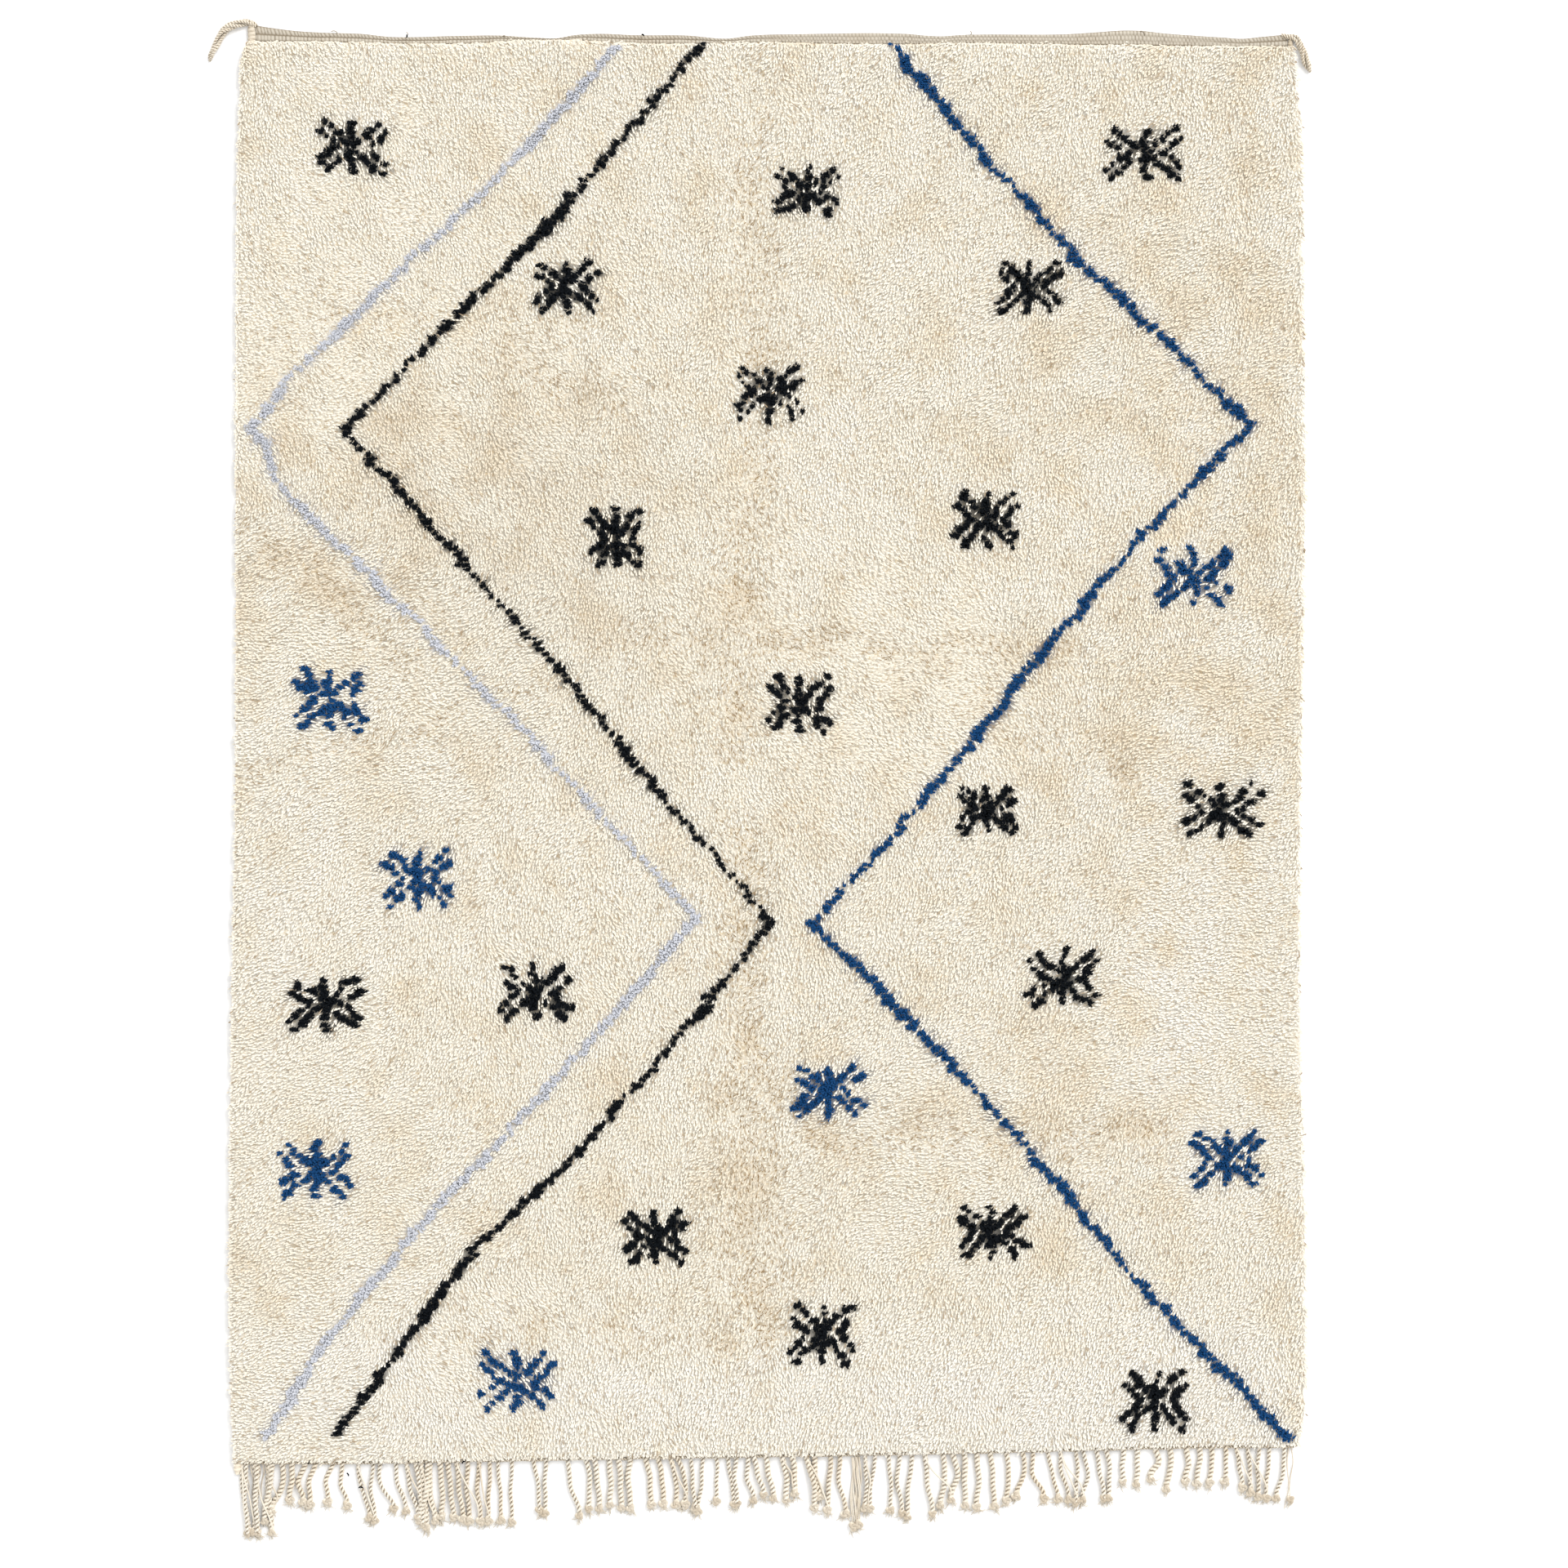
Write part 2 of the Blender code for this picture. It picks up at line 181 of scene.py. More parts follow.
pattern = {
    "knotWide": 0.0072,      # one knot of the chart, across and down the rug
    "knotTall": 0.0067,
    "knotReach": 0.73,       # how far a knot's wool spreads, in knots
    "corners": 2.4,          # 2 ties round knots, more ties squarer ones
    "aspects": (0.68, 1.45),     # how wide a knot is beside its usual shape
    "starSizes": (0.68, 1.18),
    "joined": 0.34,          # how often a corner is joined, a knot tied twice or left out
    "twice": 0.20,
    "leftOut": 0.035,
    "secondAway": 0.0042,
    "bends": (0.0022, 0.0020),   # how far the hand bends a star, leans it and misplaces a knot
    "leans": (0.03, 0.04),
    "slips": (0.0015, 0.0012),
    "chartCell": 0.0008,     # fineness of the loom chart that the pile reads its yarn from
    "chartHalf": (0.80, 1.05),
    "stampCells": 9,         # reach of a knot on the chart
    # an eight-armed star, one sign for each knot
    "star": [".#....#....#.",
             "..#...#...#..",
             "#..#..#..#..#",
             ".#..#.#.#..#.",
             "..#..###..#..",
             "...#..#..#...",
             "..#..###..#..",
             ".#..#.#.#..#.",
             "#..#..#..#..#",
             "..#...#...#..",
             ".#....#....#."],
    # x, y of each star's middle, and how wide and tall it is beside the chart
    "blackStars": [(-0.584, 0.842, 1.05, 1.05), (0.055, 0.782, 0.94, 0.92),
                   (0.530, 0.834, 1.25, 1.02), (-0.283, 0.647, 1.00, 0.98),
                   (0.367, 0.646, 0.95, 1.02), (0.002, 0.498, 1.04, 1.08),
                   (-0.212, 0.293, 0.84, 1.14), (0.309, 0.319, 0.96, 1.12),
                   (0.046, 0.061, 0.98, 1.12), (0.309, -0.089, 0.92, 0.96),
                   (0.637, -0.089, 1.20, 1.04), (-0.327, -0.346, 1.12, 1.08),
                   (-0.622, -0.362, 1.12, 0.98), (0.415, -0.325, 1.08, 1.10),
                   (-0.158, -0.690, 0.98, 1.02), (0.313, -0.681, 1.00, 1.00),
                   (0.078, -0.825, 1.02, 1.14), (0.545, -0.919, 0.98, 1.16)],
    "blueStars": [(0.598, 0.239, 1.16, 1.14), (-0.616, 0.067, 1.08, 1.20),
                  (-0.491, -0.185, 1.02, 1.12), (0.085, -0.483, 1.06, 0.98),
                  (-0.636, -0.595, 1.14, 1.06), (0.645, -0.578, 1.06, 1.10),
                  (-0.354, -0.891, 1.12, 1.10)],
    # the zigzag lines, from the heading down to the fringe
    "blackLine": [(-0.092, 0.989), (-0.224, 0.834), (-0.316, 0.7245), (-0.4255, 0.621),
                  (-0.558, 0.483), (-0.596, 0.446), (-0.276, 0.092), (-0.1725, -0.040),
                  (0.006, -0.245), (-0.092, -0.368), (-0.276, -0.581), (-0.4025, -0.696),
                  (-0.506, -0.834), (-0.612, -0.972)],
    "paleLine": [(-0.213, 0.983), (-0.3335, 0.845), (-0.6785, 0.512), (-0.721, 0.4485),
                 (-0.6785, 0.3565), (-0.5635, 0.247), (-0.3335, 0.0115), (-0.100, -0.2415),
                 (-0.1725, -0.328), (-0.368, -0.546), (-0.460, -0.638), (-0.621, -0.834),
                 (-0.707, -0.972)],
    "blueLine": [(0.1725, 0.989), (0.3105, 0.822), (0.4485, 0.673), (0.5865, 0.546),
                 (0.6785, 0.452), (0.529, 0.299), (0.3565, 0.098), (0.2875, 0.006),
                 (0.138, -0.167), (0.061, -0.247), (0.161, -0.345), (0.345, -0.5405),
                 (0.5405, -0.776), (0.668, -0.903), (0.7325, -0.974)],
    "lineStep": 0.0074,      # from row to row of a line
    "lineSlip": 0.0018,      # how far a row is misplaced, and how far the line sways
    "lineSway": 0.0030,
    "lineSeat": 0.80,        # from knot to knot of a row, in knots
    "lineMost": 4,           # knots in a row
    "rowSlip": 0.0007,       # how far one knot is off its row
    "swell": 0.65,           # knots by which a line's width slowly comes and goes
    "thickReach": 0.020,     # length of a thick place to either side
    "sizeSwell": (0.16, 0.11),   # how far the knots' size comes and goes, and over what length
    # how many knots wide a line usually is, and how large they are tied
    "lineKnots": {"blackLine": 1.45, "paleLine": 1.48, "blueLine": 1.70},
    "lineSizes": {"blackLine": (0.70, 1.14), "paleLine": (0.86, 1.00), "blueLine": (0.70, 1.14)},
    "lineUneven": {"blackLine": 0.50, "paleLine": 0.14, "blueLine": 0.50},
    "thickPlaces": {"blackLine": [(0.905, 1.0), (0.744, 1.6), (-0.040, 0.6), (-0.090, 0.5),
                                  (-0.140, 0.5), (-0.190, 0.4), (-0.275, -1.0), (-0.315, -1.0),
                                  (-0.372, 0.8), (-0.415, -0.9), (-0.450, -0.7)],
                    "blueLine": [(0.955, 0.9), (0.640, 0.6), (-0.110, -0.7), (-0.155, -0.8),
                                 (-0.200, -0.9), (-0.640, 0.7), (-0.880, 0.9)]},
}


def starKnots(middleX, middleY, wide, tall, seed):
    # The chart's signs as places, each a knot's width apart. The weaver's hand bends the rows
    # and columns as slow sines, and now and then leaves a knot out or ties one twice.
    dice = np.random.default_rng(seed)
    signs = np.array([list(row) for row in pattern["star"]]) == "#"
    row, column = np.nonzero(signs)
    # knots that touch only at their corners are often joined by one more between them
    for step in (-1, 1):
        r, c = np.nonzero(signs[:-1] & np.roll(signs, -step, 1)[1:])
        tied = dice.random(len(r)) < pattern["joined"]
        row = np.concatenate([row, r[tied] + 0.5])
        column = np.concatenate([column, c[tied] + 0.5 * step])
    across = (column - (signs.shape[1] - 1) / 2) * pattern["knotWide"] * wide
    down = ((signs.shape[0] - 1) / 2 - row) * pattern["knotTall"] * tall
    hand = dice.uniform(-1, 1, 4)
    (bendX, bendY), (leanX, leanY) = pattern["bends"], pattern["leans"]
    x = middleX + across + bendX * np.sin(row * 1.1 + hand[0] * 3) + leanX * hand[1] * down
    y = middleY + down + bendY * np.sin(column + hand[2] * 3) + leanY * hand[3] * across
    x, y = (at + dice.normal(0, slip, len(at)) for at, slip in zip((x, y), pattern["slips"]))
    kept = dice.random(len(x)) > pattern["leftOut"]
    twice = dice.random(len(x)) < pattern["twice"]
    side = dice.choice([-1, 1], len(x)) * pattern["secondAway"]
    x, y = np.concatenate([x[kept], (x + side)[twice]]), np.concatenate([y[kept], y[twice]])
    return x, y, dice.uniform(*pattern["starSizes"], len(x))


def lineKnots(name, seed):
    # Row by row, the line's place is read off its points and stepped to the nearest half knot,
    # and one to four knots are tied there side by side. A thick place adds extra *
    # exp(-(distance / thickReach)^2) knots.
    dice = np.random.default_rng(seed)
    points = np.array(pattern[name])
    rows = np.arange(points[0, 1], points[-1, 1], -pattern["lineStep"])
    step = pattern["knotWide"] / 2
    middle = np.interp(rows, points[::-1, 1], points[::-1, 0])
    middle = middle + dice.normal(0, pattern["lineSlip"], len(rows))
    middle += pattern["lineSway"] * wavesAlong(rows, 0.05, seed)
    middle = np.rint(middle / step) * step
    # seven rows' mean, so that the width comes and goes slowly
    slow = np.convolve(dice.normal(0, 1, len(rows) + 6), np.ones(7) / 7, "valid")
    width = pattern["lineKnots"][name] + pattern["swell"] * slow
    width += dice.normal(0, pattern["lineUneven"][name], len(rows))
    for place, extra in pattern["thickPlaces"].get(name, []):
        width += extra * np.exp(-((rows - place) / pattern["thickReach"]) ** 2)
    most = pattern["lineMost"]
    count = np.clip(np.rint(width), 1, most).astype(int)[:, None]
    seat = np.arange(most)[None, :]
    used = seat < count
    x = middle[:, None] + (seat - (count - 1) / 2) * pattern["lineSeat"] * pattern["knotWide"]
    y = np.repeat(rows[:, None], most, 1) + dice.normal(0, pattern["rowSlip"], used.shape)
    size = dice.uniform(*pattern["lineSizes"][name], used.shape)
    swell, swellLength = pattern["sizeSwell"]
    size *= 1 + swell * wavesAlong(rows, swellLength, seed + 7)[:, None]
    return x[used], y[used], size[used]


def dyedKnots():
    # every dyed knot of the rug, by yarn: 1 black, 2 blue, 3 pale
    jobs = [(3, lineKnots("paleLine", 31)), (2, lineKnots("blueLine", 32)),
            (1, lineKnots("blackLine", 33))]
    jobs += [(1, starKnots(*star, 100 + i)) for i, star in enumerate(pattern["blackStars"])]
    jobs += [(2, starKnots(*star, 200 + i)) for i, star in enumerate(pattern["blueStars"])]
    return jobs


def chartPlace(x, y):
    # the column and the row of the loom chart, not yet rounded
    halfX, halfY = pattern["chartHalf"]
    return (x + halfX) / pattern["chartCell"], (y + halfY) / pattern["chartCell"]


def loomChart(jobs):
    # Stamps every knot on a fine chart of the whole field, which is 0 where the wool is cream.
    # A knot covers the cells where |dx / a|^corners + |dy / b|^corners is under 1.
    cell, power = pattern["chartCell"], pattern["corners"]
    wide, tall = (round(2 * half / cell) for half in pattern["chartHalf"])
    chart = np.zeros((tall, wide), np.uint8)
    reach = np.arange(-pattern["stampCells"], pattern["stampCells"] + 1)
    stampX, stampY = (a.ravel() for a in np.meshgrid(reach, reach))
    dice = np.random.default_rng(15)
    for yarn, (x, y, size) in jobs:
        column, row = (at[:, None] for at in chartPlace(x, y))
        aspect = dice.uniform(*pattern["aspects"], len(x))
        c = np.rint(column).astype(int) + stampX
        r = np.rint(row).astype(int) + stampY
        a = pattern["knotReach"] * pattern["knotWide"] / cell * (size * aspect)[:, None]
        b = pattern["knotReach"] * pattern["knotTall"] / cell * (size / aspect)[:, None]
        inside = np.abs((c - column) / a) ** power + np.abs((r - row) / b) ** power < 1
        chart[r[inside], c[inside]] = yarn
    return chart


knots = dyedKnots()
chart = loomChart(knots)
print("loom chart:", {int(k): int((chart == k).sum()) for k in range(4)}, "cells of each yarn")


def yarnAt(x, y):
    # which yarn the chart has at a place
    c, r = (np.rint(at).astype(int).clip(0, most - 1)
            for at, most in zip(chartPlace(x, y), chart.shape[::-1]))
    return chart[r, c]


def nearDark(x, y):
    # how much of a small ring round the place is black or blue, 0 to 1
    turn = np.arange(8) * math.pi / 4
    reach = shades["haloReach"]
    ring = [yarnAt(x + reach * math.cos(t), y + reach * math.sin(t)) for t in turn]
    return np.mean([(kind == 1) | (kind == 2) for kind in ring], axis=0)


nap = {
    # x, y, the way the yarn ends point (degrees from +X), and how strongly they lie over
    "lies": [(-0.60, 0.88, -58, 1.0), (-0.65, 0.70, -38, 0.9), (-0.66, 0.58, -12, 0.7),
             (-0.30, 0.71, -62, 1.0), (-0.42, 0.42, -50, 0.8), (-0.09, 0.82, -82, 0.9),
             (0.07, 0.71, -98, 0.9), (0.29, 0.62, -120, 1.0), (0.55, 0.62, -140, 0.9),
             (0.66, 0.85, -112, 0.9), (0.30, 0.88, -104, 1.0), (-0.60, 0.14, -172, 1.0),
             (-0.33, -0.09, -112, 1.0), (-0.45, 0.02, -165, 0.8), (-0.05, 0.10, -70, 0.6),
             (0.09, 0.05, -35, 0.9), (0.24, 0.08, -20, 0.7), (0.45, 0.25, -95, 0.9),
             (0.62, -0.34, 176, 1.0), (0.64, 0.02, -160, 0.8), (0.30, -0.22, -118, 0.9),
             (-0.62, -0.48, -150, 0.8), (-0.52, -0.70, -175, 0.8), (-0.43, -0.84, -42, 0.9),
             (-0.68, -0.95, -174, 1.0), (-0.20, -0.55, -100, 0.8), (0.00, -0.78, -106, 0.8),
             (0.22, -0.58, -176, 0.9), (0.36, -0.74, -110, 1.0), (0.52, -0.86, -120, 1.0),
             (-0.10, -0.93, -96, 1.0), (-0.05, -0.30, -88, 0.8), (-0.30, -0.35, -70, 0.9)],
    "swirl": 26.0,           # degrees, of slow bends this long
    "swirlSize": 0.09,
    "scatter": 13.0,         # degrees, from one yarn end to the next
    "softening": 0.0012,     # added to a squared distance, so that no place pulls too hard
}

folds = {
    # where the rug was folded for carrying: both ends, half width, depth
    "lines": [(-0.012, 0.990, -0.012, 0.80, 0.028, 0.55), (-0.014, 0.80, -0.010, 0.38, 0.030, 1.00),
              (-0.030, 0.330, -0.055, 0.01, 0.042, 0.85), (-0.035, -0.12, -0.030, -0.46, 0.034, 0.95),
              (-0.015, -0.440, -0.030, -0.83, 0.060, 0.95), (-0.20, 0.150, 0.42, 0.135, 0.022, 0.80),
              (-0.03, -0.545, 0.54, -0.550, 0.026, 0.75), (-0.62, 0.615, -0.25, 0.600, 0.020, 0.40),
              (-0.50, -0.820, 0.02, -0.822, 0.028, 0.40), (-0.745, 0.310, -0.52, 0.130, 0.022, 0.65),
              (-0.745, -0.045, -0.30, 0.090, 0.018, 0.50), (0.32, 0.060, 0.50, -0.030, 0.030, 0.55),
              (-0.62, 0.260, -0.48, 0.190, 0.040, 0.45), (-0.36, 0.560, -0.22, 0.480, 0.030, 0.50)],
    "wander": 0.012,         # how far a fold wanders, and over what length
    "wanderSize": 0.16,
    "patchy": (0.75, 0.35),  # its usual depth and how far that comes and goes
    "patchSize": 0.07,
    "runOut": 0.03,          # length over which it fades past its ends
    "deepest": 1.2,
}


def foldAt(x, y):
    # Each fold is a soft trough, depth * exp(-(distance / half width)^2), whose line wanders
    # and whose depth comes and goes along it.
    total = np.zeros(np.broadcast(x, y).shape)
    wander = folds["wander"] * softWaves(x, y, folds["wanderSize"], 51)
    usual, swing = folds["patchy"]
    patchy = usual + swing * softWaves(x, y, folds["patchSize"], 52)
    for ax, ay, bx, by, half, depth in folds["lines"]:
        length = math.hypot(bx - ax, by - ay)
        wayX, wayY = (bx - ax) / length, (by - ay) / length
        along = (x - ax) * wayX + (y - ay) * wayY
        off = (x - ax) * -wayY + (y - ay) * wayX + wander
        past = np.maximum(0, np.maximum(-along, along - length))
        trough = depth * np.exp(-(off / half) ** 2 - (past / folds["runOut"]) ** 2)
        total = np.maximum(total, trough * patchy)
    return np.clip(total, 0, folds["deepest"])


def napAt(x, y):
    # The way and the strength of the lie: an average of the listed places, each weighted by
    # 1 / distance^3, then turned by slow bends.
    sumX, sumY, weights = np.zeros_like(x), np.zeros_like(x), np.zeros_like(x)
    for atX, atY, way, pull in nap["lies"]:
        weight = 1 / ((x - atX) ** 2 + (y - atY) ** 2 + nap["softening"]) ** 1.5
        sumX += weight * pull * math.cos(math.radians(way))
        sumY += weight * pull * math.sin(math.radians(way))
        weights += weight
    swirl = np.radians(nap["swirl"]) * softWaves(x, y, nap["swirlSize"], 61)
    return np.arctan2(sumY, sumX) + swirl, np.hypot(sumX, sumY) / weights


pile = {
    # where the yarn ends are and how large
    "spacing": 0.00432,      # from one to the next
    "jitter": 0.42,          # of the spacing
    "gridHalf": (0.78, 1.02),    # half width and half length of the grid they stand on
    "seen": (0.50, 0.75, 1.0),   # places along a yarn end that show, from root to tip
    "length": 0.0106,
    "lengthSpread": 0.16,
    "lengthLimits": (0.6, 1.5),      # of the length
    "riseLimits": (0.0015, 0.93),    # least rise in metres, and most beside the length
    "halfWidth": 0.00125,
    "widths": (0.8, 1.2),
    "widest": 0.84,          # where along itself a yarn end is widest
    "widestSpread": 0.08,
    "arch": 0.0009,          # how far the middle of a yarn end stands above its line
    "roll": 0.20,            # radians, how unevenly the yarn ends roll over
    "strips": 5,
    # the dyed ones
    "dyedSpacing": 0.0030,
    "dyedLength": 0.0084,
    "dyedHalfWidth": 0.0018,
    "dyedLift": 0.0008,
    # heights over the floor, and how unevenly the pile stands
    "rootHeight": 0.0100,
    "tipHeight": 0.0158,
    "tipSpread": 0.0007,
    "hills": 0.0006,
    "hillSize": 0.05,
    "upright": 0.0012,       # how much higher the tips stand where the pile lies over little
    # folds: how far they lower the pile, and what they do to the yarn ends
    "foldDrop": 0.0026,
    "foldUneven": 2.5,       # of the tips' spread
    "foldScatter": 2.2,      # of the nap's scatter
    "foldShort": 0.30,
    "foldNarrow": 0.15,
    "foldEven": 0.55,
    # yarn ends that lie flat in their neighbours' shade and are painted dark as that shade: their
    # share, how flat they lie, how far over the others, how much narrower, and how dark, each
    # also in folds
    "darkShare": 0.035,
    "foldDarkShare": 0.38,
    "darkFlat": 0.75,
    "darkLift": 0.0006,
    "darkNarrow": 0.25,
    "darkDepth": (0.80, 0.20),
    # shading: how far the wool's softness evens it out, how far it leans at the root, sides
    # and tip, and the painted shade at the four corners of a light and of a dark yarn end
    "evenness": 6.5,
    "dyedEvenness": 3.0,
    "rounding": (0.45, 0.60, 0.40),
    "rootDeep": (0.14, 0.03, 0.03, 0.00),
    "shadeDeep": (0.8, 1.0, 1.0, 0.9),
    # edges
    "edgeStep": 0.55,        # of the spacing, between yarn ends along the edges
    "edgeSlips": (0.005, 0.004),     # how far in these are misplaced, beside x and y
    "edgeReach": 0.012,      # how near an edge the yarn ends begin to turn outwards
    "turnOut": (1.5, 0.8),   # how hard they turn at the sides and at the ends
    "overRoll": (1.08, 1.48),    # how much of each overcast edge's width they hide
    "overEnds": (0.0021, 0.0015),    # how far they reach over the fringe and the heading
    "ragged": 0.0026,        # how uneven their edge is, and how far inside it their roots are
    "inside": 0.0005,
    "raggedSize": 0.022,
    "shoulder": 0.0075,      # over which the pile falls away, and how little at the sides
    "sideFill": 0.0030,
    "rimRoot": 0.45,         # how high the roots and the tips stand at the very edge
    "rimTip": 0.42,
    # the thick of the pile below the yarn ends
    "bedCell": 0.0180,
    "bedTop": 0.0103,
    "bedFoot": 0.0022,
    "bedOver": (0.60, 0.70),     # how much of each overcast edge's width it hides
    "bedSink": 1.5,          # how far a fold lowers it, beside the yarn ends
    "bedDeep": (0.05, 0.40),     # its painted shade in folds and on its walls
    "dyeSpread": 0.004,
    "gap": (0.84, 0.77, 0.66),   # the colour of the painted shade between its tufts
    "crevice": 0.25,         # how wide the painted shade between tufts is, how much more in folds
    "foldOpen": 0.34,
    "bedHills": (0.0005, 0.03),  # how far it rises and falls, and over what length
    "groundTop": 0.0026,
    "groundCells": (30, 40),
    # the bodies of the dyed knots: top, half width in knots, turn in radians, and the taper
    # of foot and top
    "knotTop": 0.0108,
    "knotEdgeDrop": 0.4,     # how much lower they are beside the field's edge
    # their warmth, lightness and depth of painted shade, as they lie under the yarn ends
    "knotTone": (0.5, 0.4, 0.8),
    "knotHalf": 0.46,
    "knotTurn": 0.8,
    "knotTaper": (1.10, 0.95),
}


shades = {
    # broad tones of the wool: x, y, how wide and tall a soft patch is, and how warm and light
    # the patches that lighten the lower end and the right side are painted light, standing for
    # stronger light there; the rest are the wool's own tones
    "spots": [(0.63, 0.45, 0.16, 0.42, 0.55, -0.20), (0.52, 0.05, 0.20, 0.14, 0.45, -0.15),
              (0.42, -0.48, 0.14, 0.16, 0.60, 0.00), (-0.48, 0.40, 0.24, 0.14, 0.40, -0.25),
              (0.33, 0.42, 0.14, 0.16, 0.35, -0.05), (-0.66, 0.22, 0.10, 0.12, 0.45, -0.20),
              (-0.62, 0.80, 0.16, 0.18, -0.45, 0.15), (0.10, 0.80, 0.14, 0.12, -0.30, 0.10),
              (-0.66, -0.20, 0.10, 0.26, -0.45, 0.25), (0.08, 0.36, 0.12, 0.12, -0.25, 0.25),
              (-0.60, -0.88, 0.18, 0.12, -0.55, 0.55), (-0.25, -0.92, 0.24, 0.09, -0.35, 0.45),
              (0.25, -0.92, 0.26, 0.10, -0.40, 0.60), (0.60, -0.92, 0.18, 0.10, -0.30, 0.55),
              (-0.30, 0.30, 0.22, 0.24, 0.10, -0.40), (0.22, 0.10, 0.16, 0.10, 0.05, -0.20),
              (-0.72, -0.76, 0.05, 0.08, 0.50, -0.30), (0.58, -0.42, 0.05, 0.20, 0.05, 0.35),
              (0.58, 0.30, 0.05, 0.30, 0.00, 0.25), (-0.10, -0.70, 0.14, 0.14, 0.10, -0.15),
              (0.62, -0.20, 0.18, 0.90, 0.00, 0.18), (0.00, -0.96, 0.90, 0.10, -0.10, 0.15)],
    "warmth": 0.65,          # how strongly they show
    "lightness": 0.70,
    "hills": 0.26,           # and slow hills of warmth this long
    "hillSize": 0.10,
    "warmSpread": 0.09,      # how far one yarn end's tone is from the next one's
    "lightSpread": 0.10,
    "haloReach": 0.006,      # how near a dark yarn cream is cooler and lighter, and how much
    "haloCool": 0.50,
    "haloLight": 0.60,
    # how much warmer and duller the folds are: painted shade where the pile parts
    "foldWarm": 0.05,
    "foldDull": 0.02,
}



def toneSpots(x, y):
    # the broad warmth and lightness at a place, each a sum of exp(-(dx / wide)^2 - (dy / tall)^2)
    # part of the lightness is painted light, from the patches at the lower end and the right side
    warm, light = np.zeros_like(x), np.zeros_like(x)
    for atX, atY, wide, tall, warmth, lightness in shades["spots"]:
        near = np.exp(-((x - atX) / wide) ** 2 - ((y - atY) / tall) ** 2)
        warm += warmth * near
        light += lightness * near
    return warm, light


def edgeDistance(x, y, over=(0.0, 0.0), past=(0.0, 0.0)):
    # how far in from each side of the pile field, and from the nearest; over widens the field
    # by a share of the left and the right overcast edge, and past lengthens it at the fringe
    # and at the heading
    ways = (x - fieldLeft(y) + over[0] * outline["leftRoll"],
            fieldRight(y) - x + over[1] * outline["rightRoll"],
            y - edgeAcross("lower", x) + past[0],
            edgeAcross("seam", x) - outline["seamGap"] + past[1] - y)
    return ways, np.minimum(np.minimum(ways[0], ways[1]), np.minimum(ways[2], ways[3]))


def shoulderAt(ways, fill=0.0):
    # How full the pile stands, 0 to 1: it falls away over the shoulder at the woven ends, and
    # only a little at the overcast sides.
    ends = np.minimum(ways[2], ways[3])
    sides = np.minimum(ways[0], ways[1]) + fill
    return np.sqrt(np.clip(np.minimum(ends, sides) / pile["shoulder"], 0.0, 1.0))


def endPlaces(step, dice):
    # a jittered brick grid over the field, and closer along the four edges, which they hide
    halfX, halfY = pile["gridHalf"]
    over, past = pile["overRoll"], pile["overEnds"]
    column, row = np.meshgrid(np.arange(round(2 * halfX / step)),
                              np.arange(round(2 * halfY / step)))
    x = (-halfX + (column + 0.5 * (row % 2)) * step).ravel()
    y = (-halfY + row * step).ravel().astype(float)
    x = x + dice.uniform(-1, 1, len(x)) * step * pile["jitter"]
    y = y + dice.uniform(-1, 1, len(y)) * step * pile["jitter"]
    run = np.arange(-halfY, halfY, step * pile["edgeStep"])
    edges = [(fieldLeft(run) - over[0] * outline["leftRoll"], run),
             (fieldRight(run) + over[1] * outline["rightRoll"], run),
             (run, edgeAcross("lower", run) - past[0]), (run, edgeAcross("seam", run) + past[1])]
    x, y = (np.concatenate([old, *new]) for old, new in zip((x, y), zip(*edges)))
    for at, slip in zip((x, y), pile["edgeSlips"]):
        at[-4 * len(run):] *= 1 - dice.uniform(0.001, slip, 4 * len(run))
    # the edge comes and goes in slow waves and from one yarn end to the next
    slow = softWaves(x, y, pile["raggedSize"], 72)
    ragged = pile["ragged"] * (slow + dice.normal(0, 0.6, len(x)))
    kept = edgeDistance(x, y, over, past)[1] > 2 * pile["inside"] + ragged
    return x[kept], y[kept]


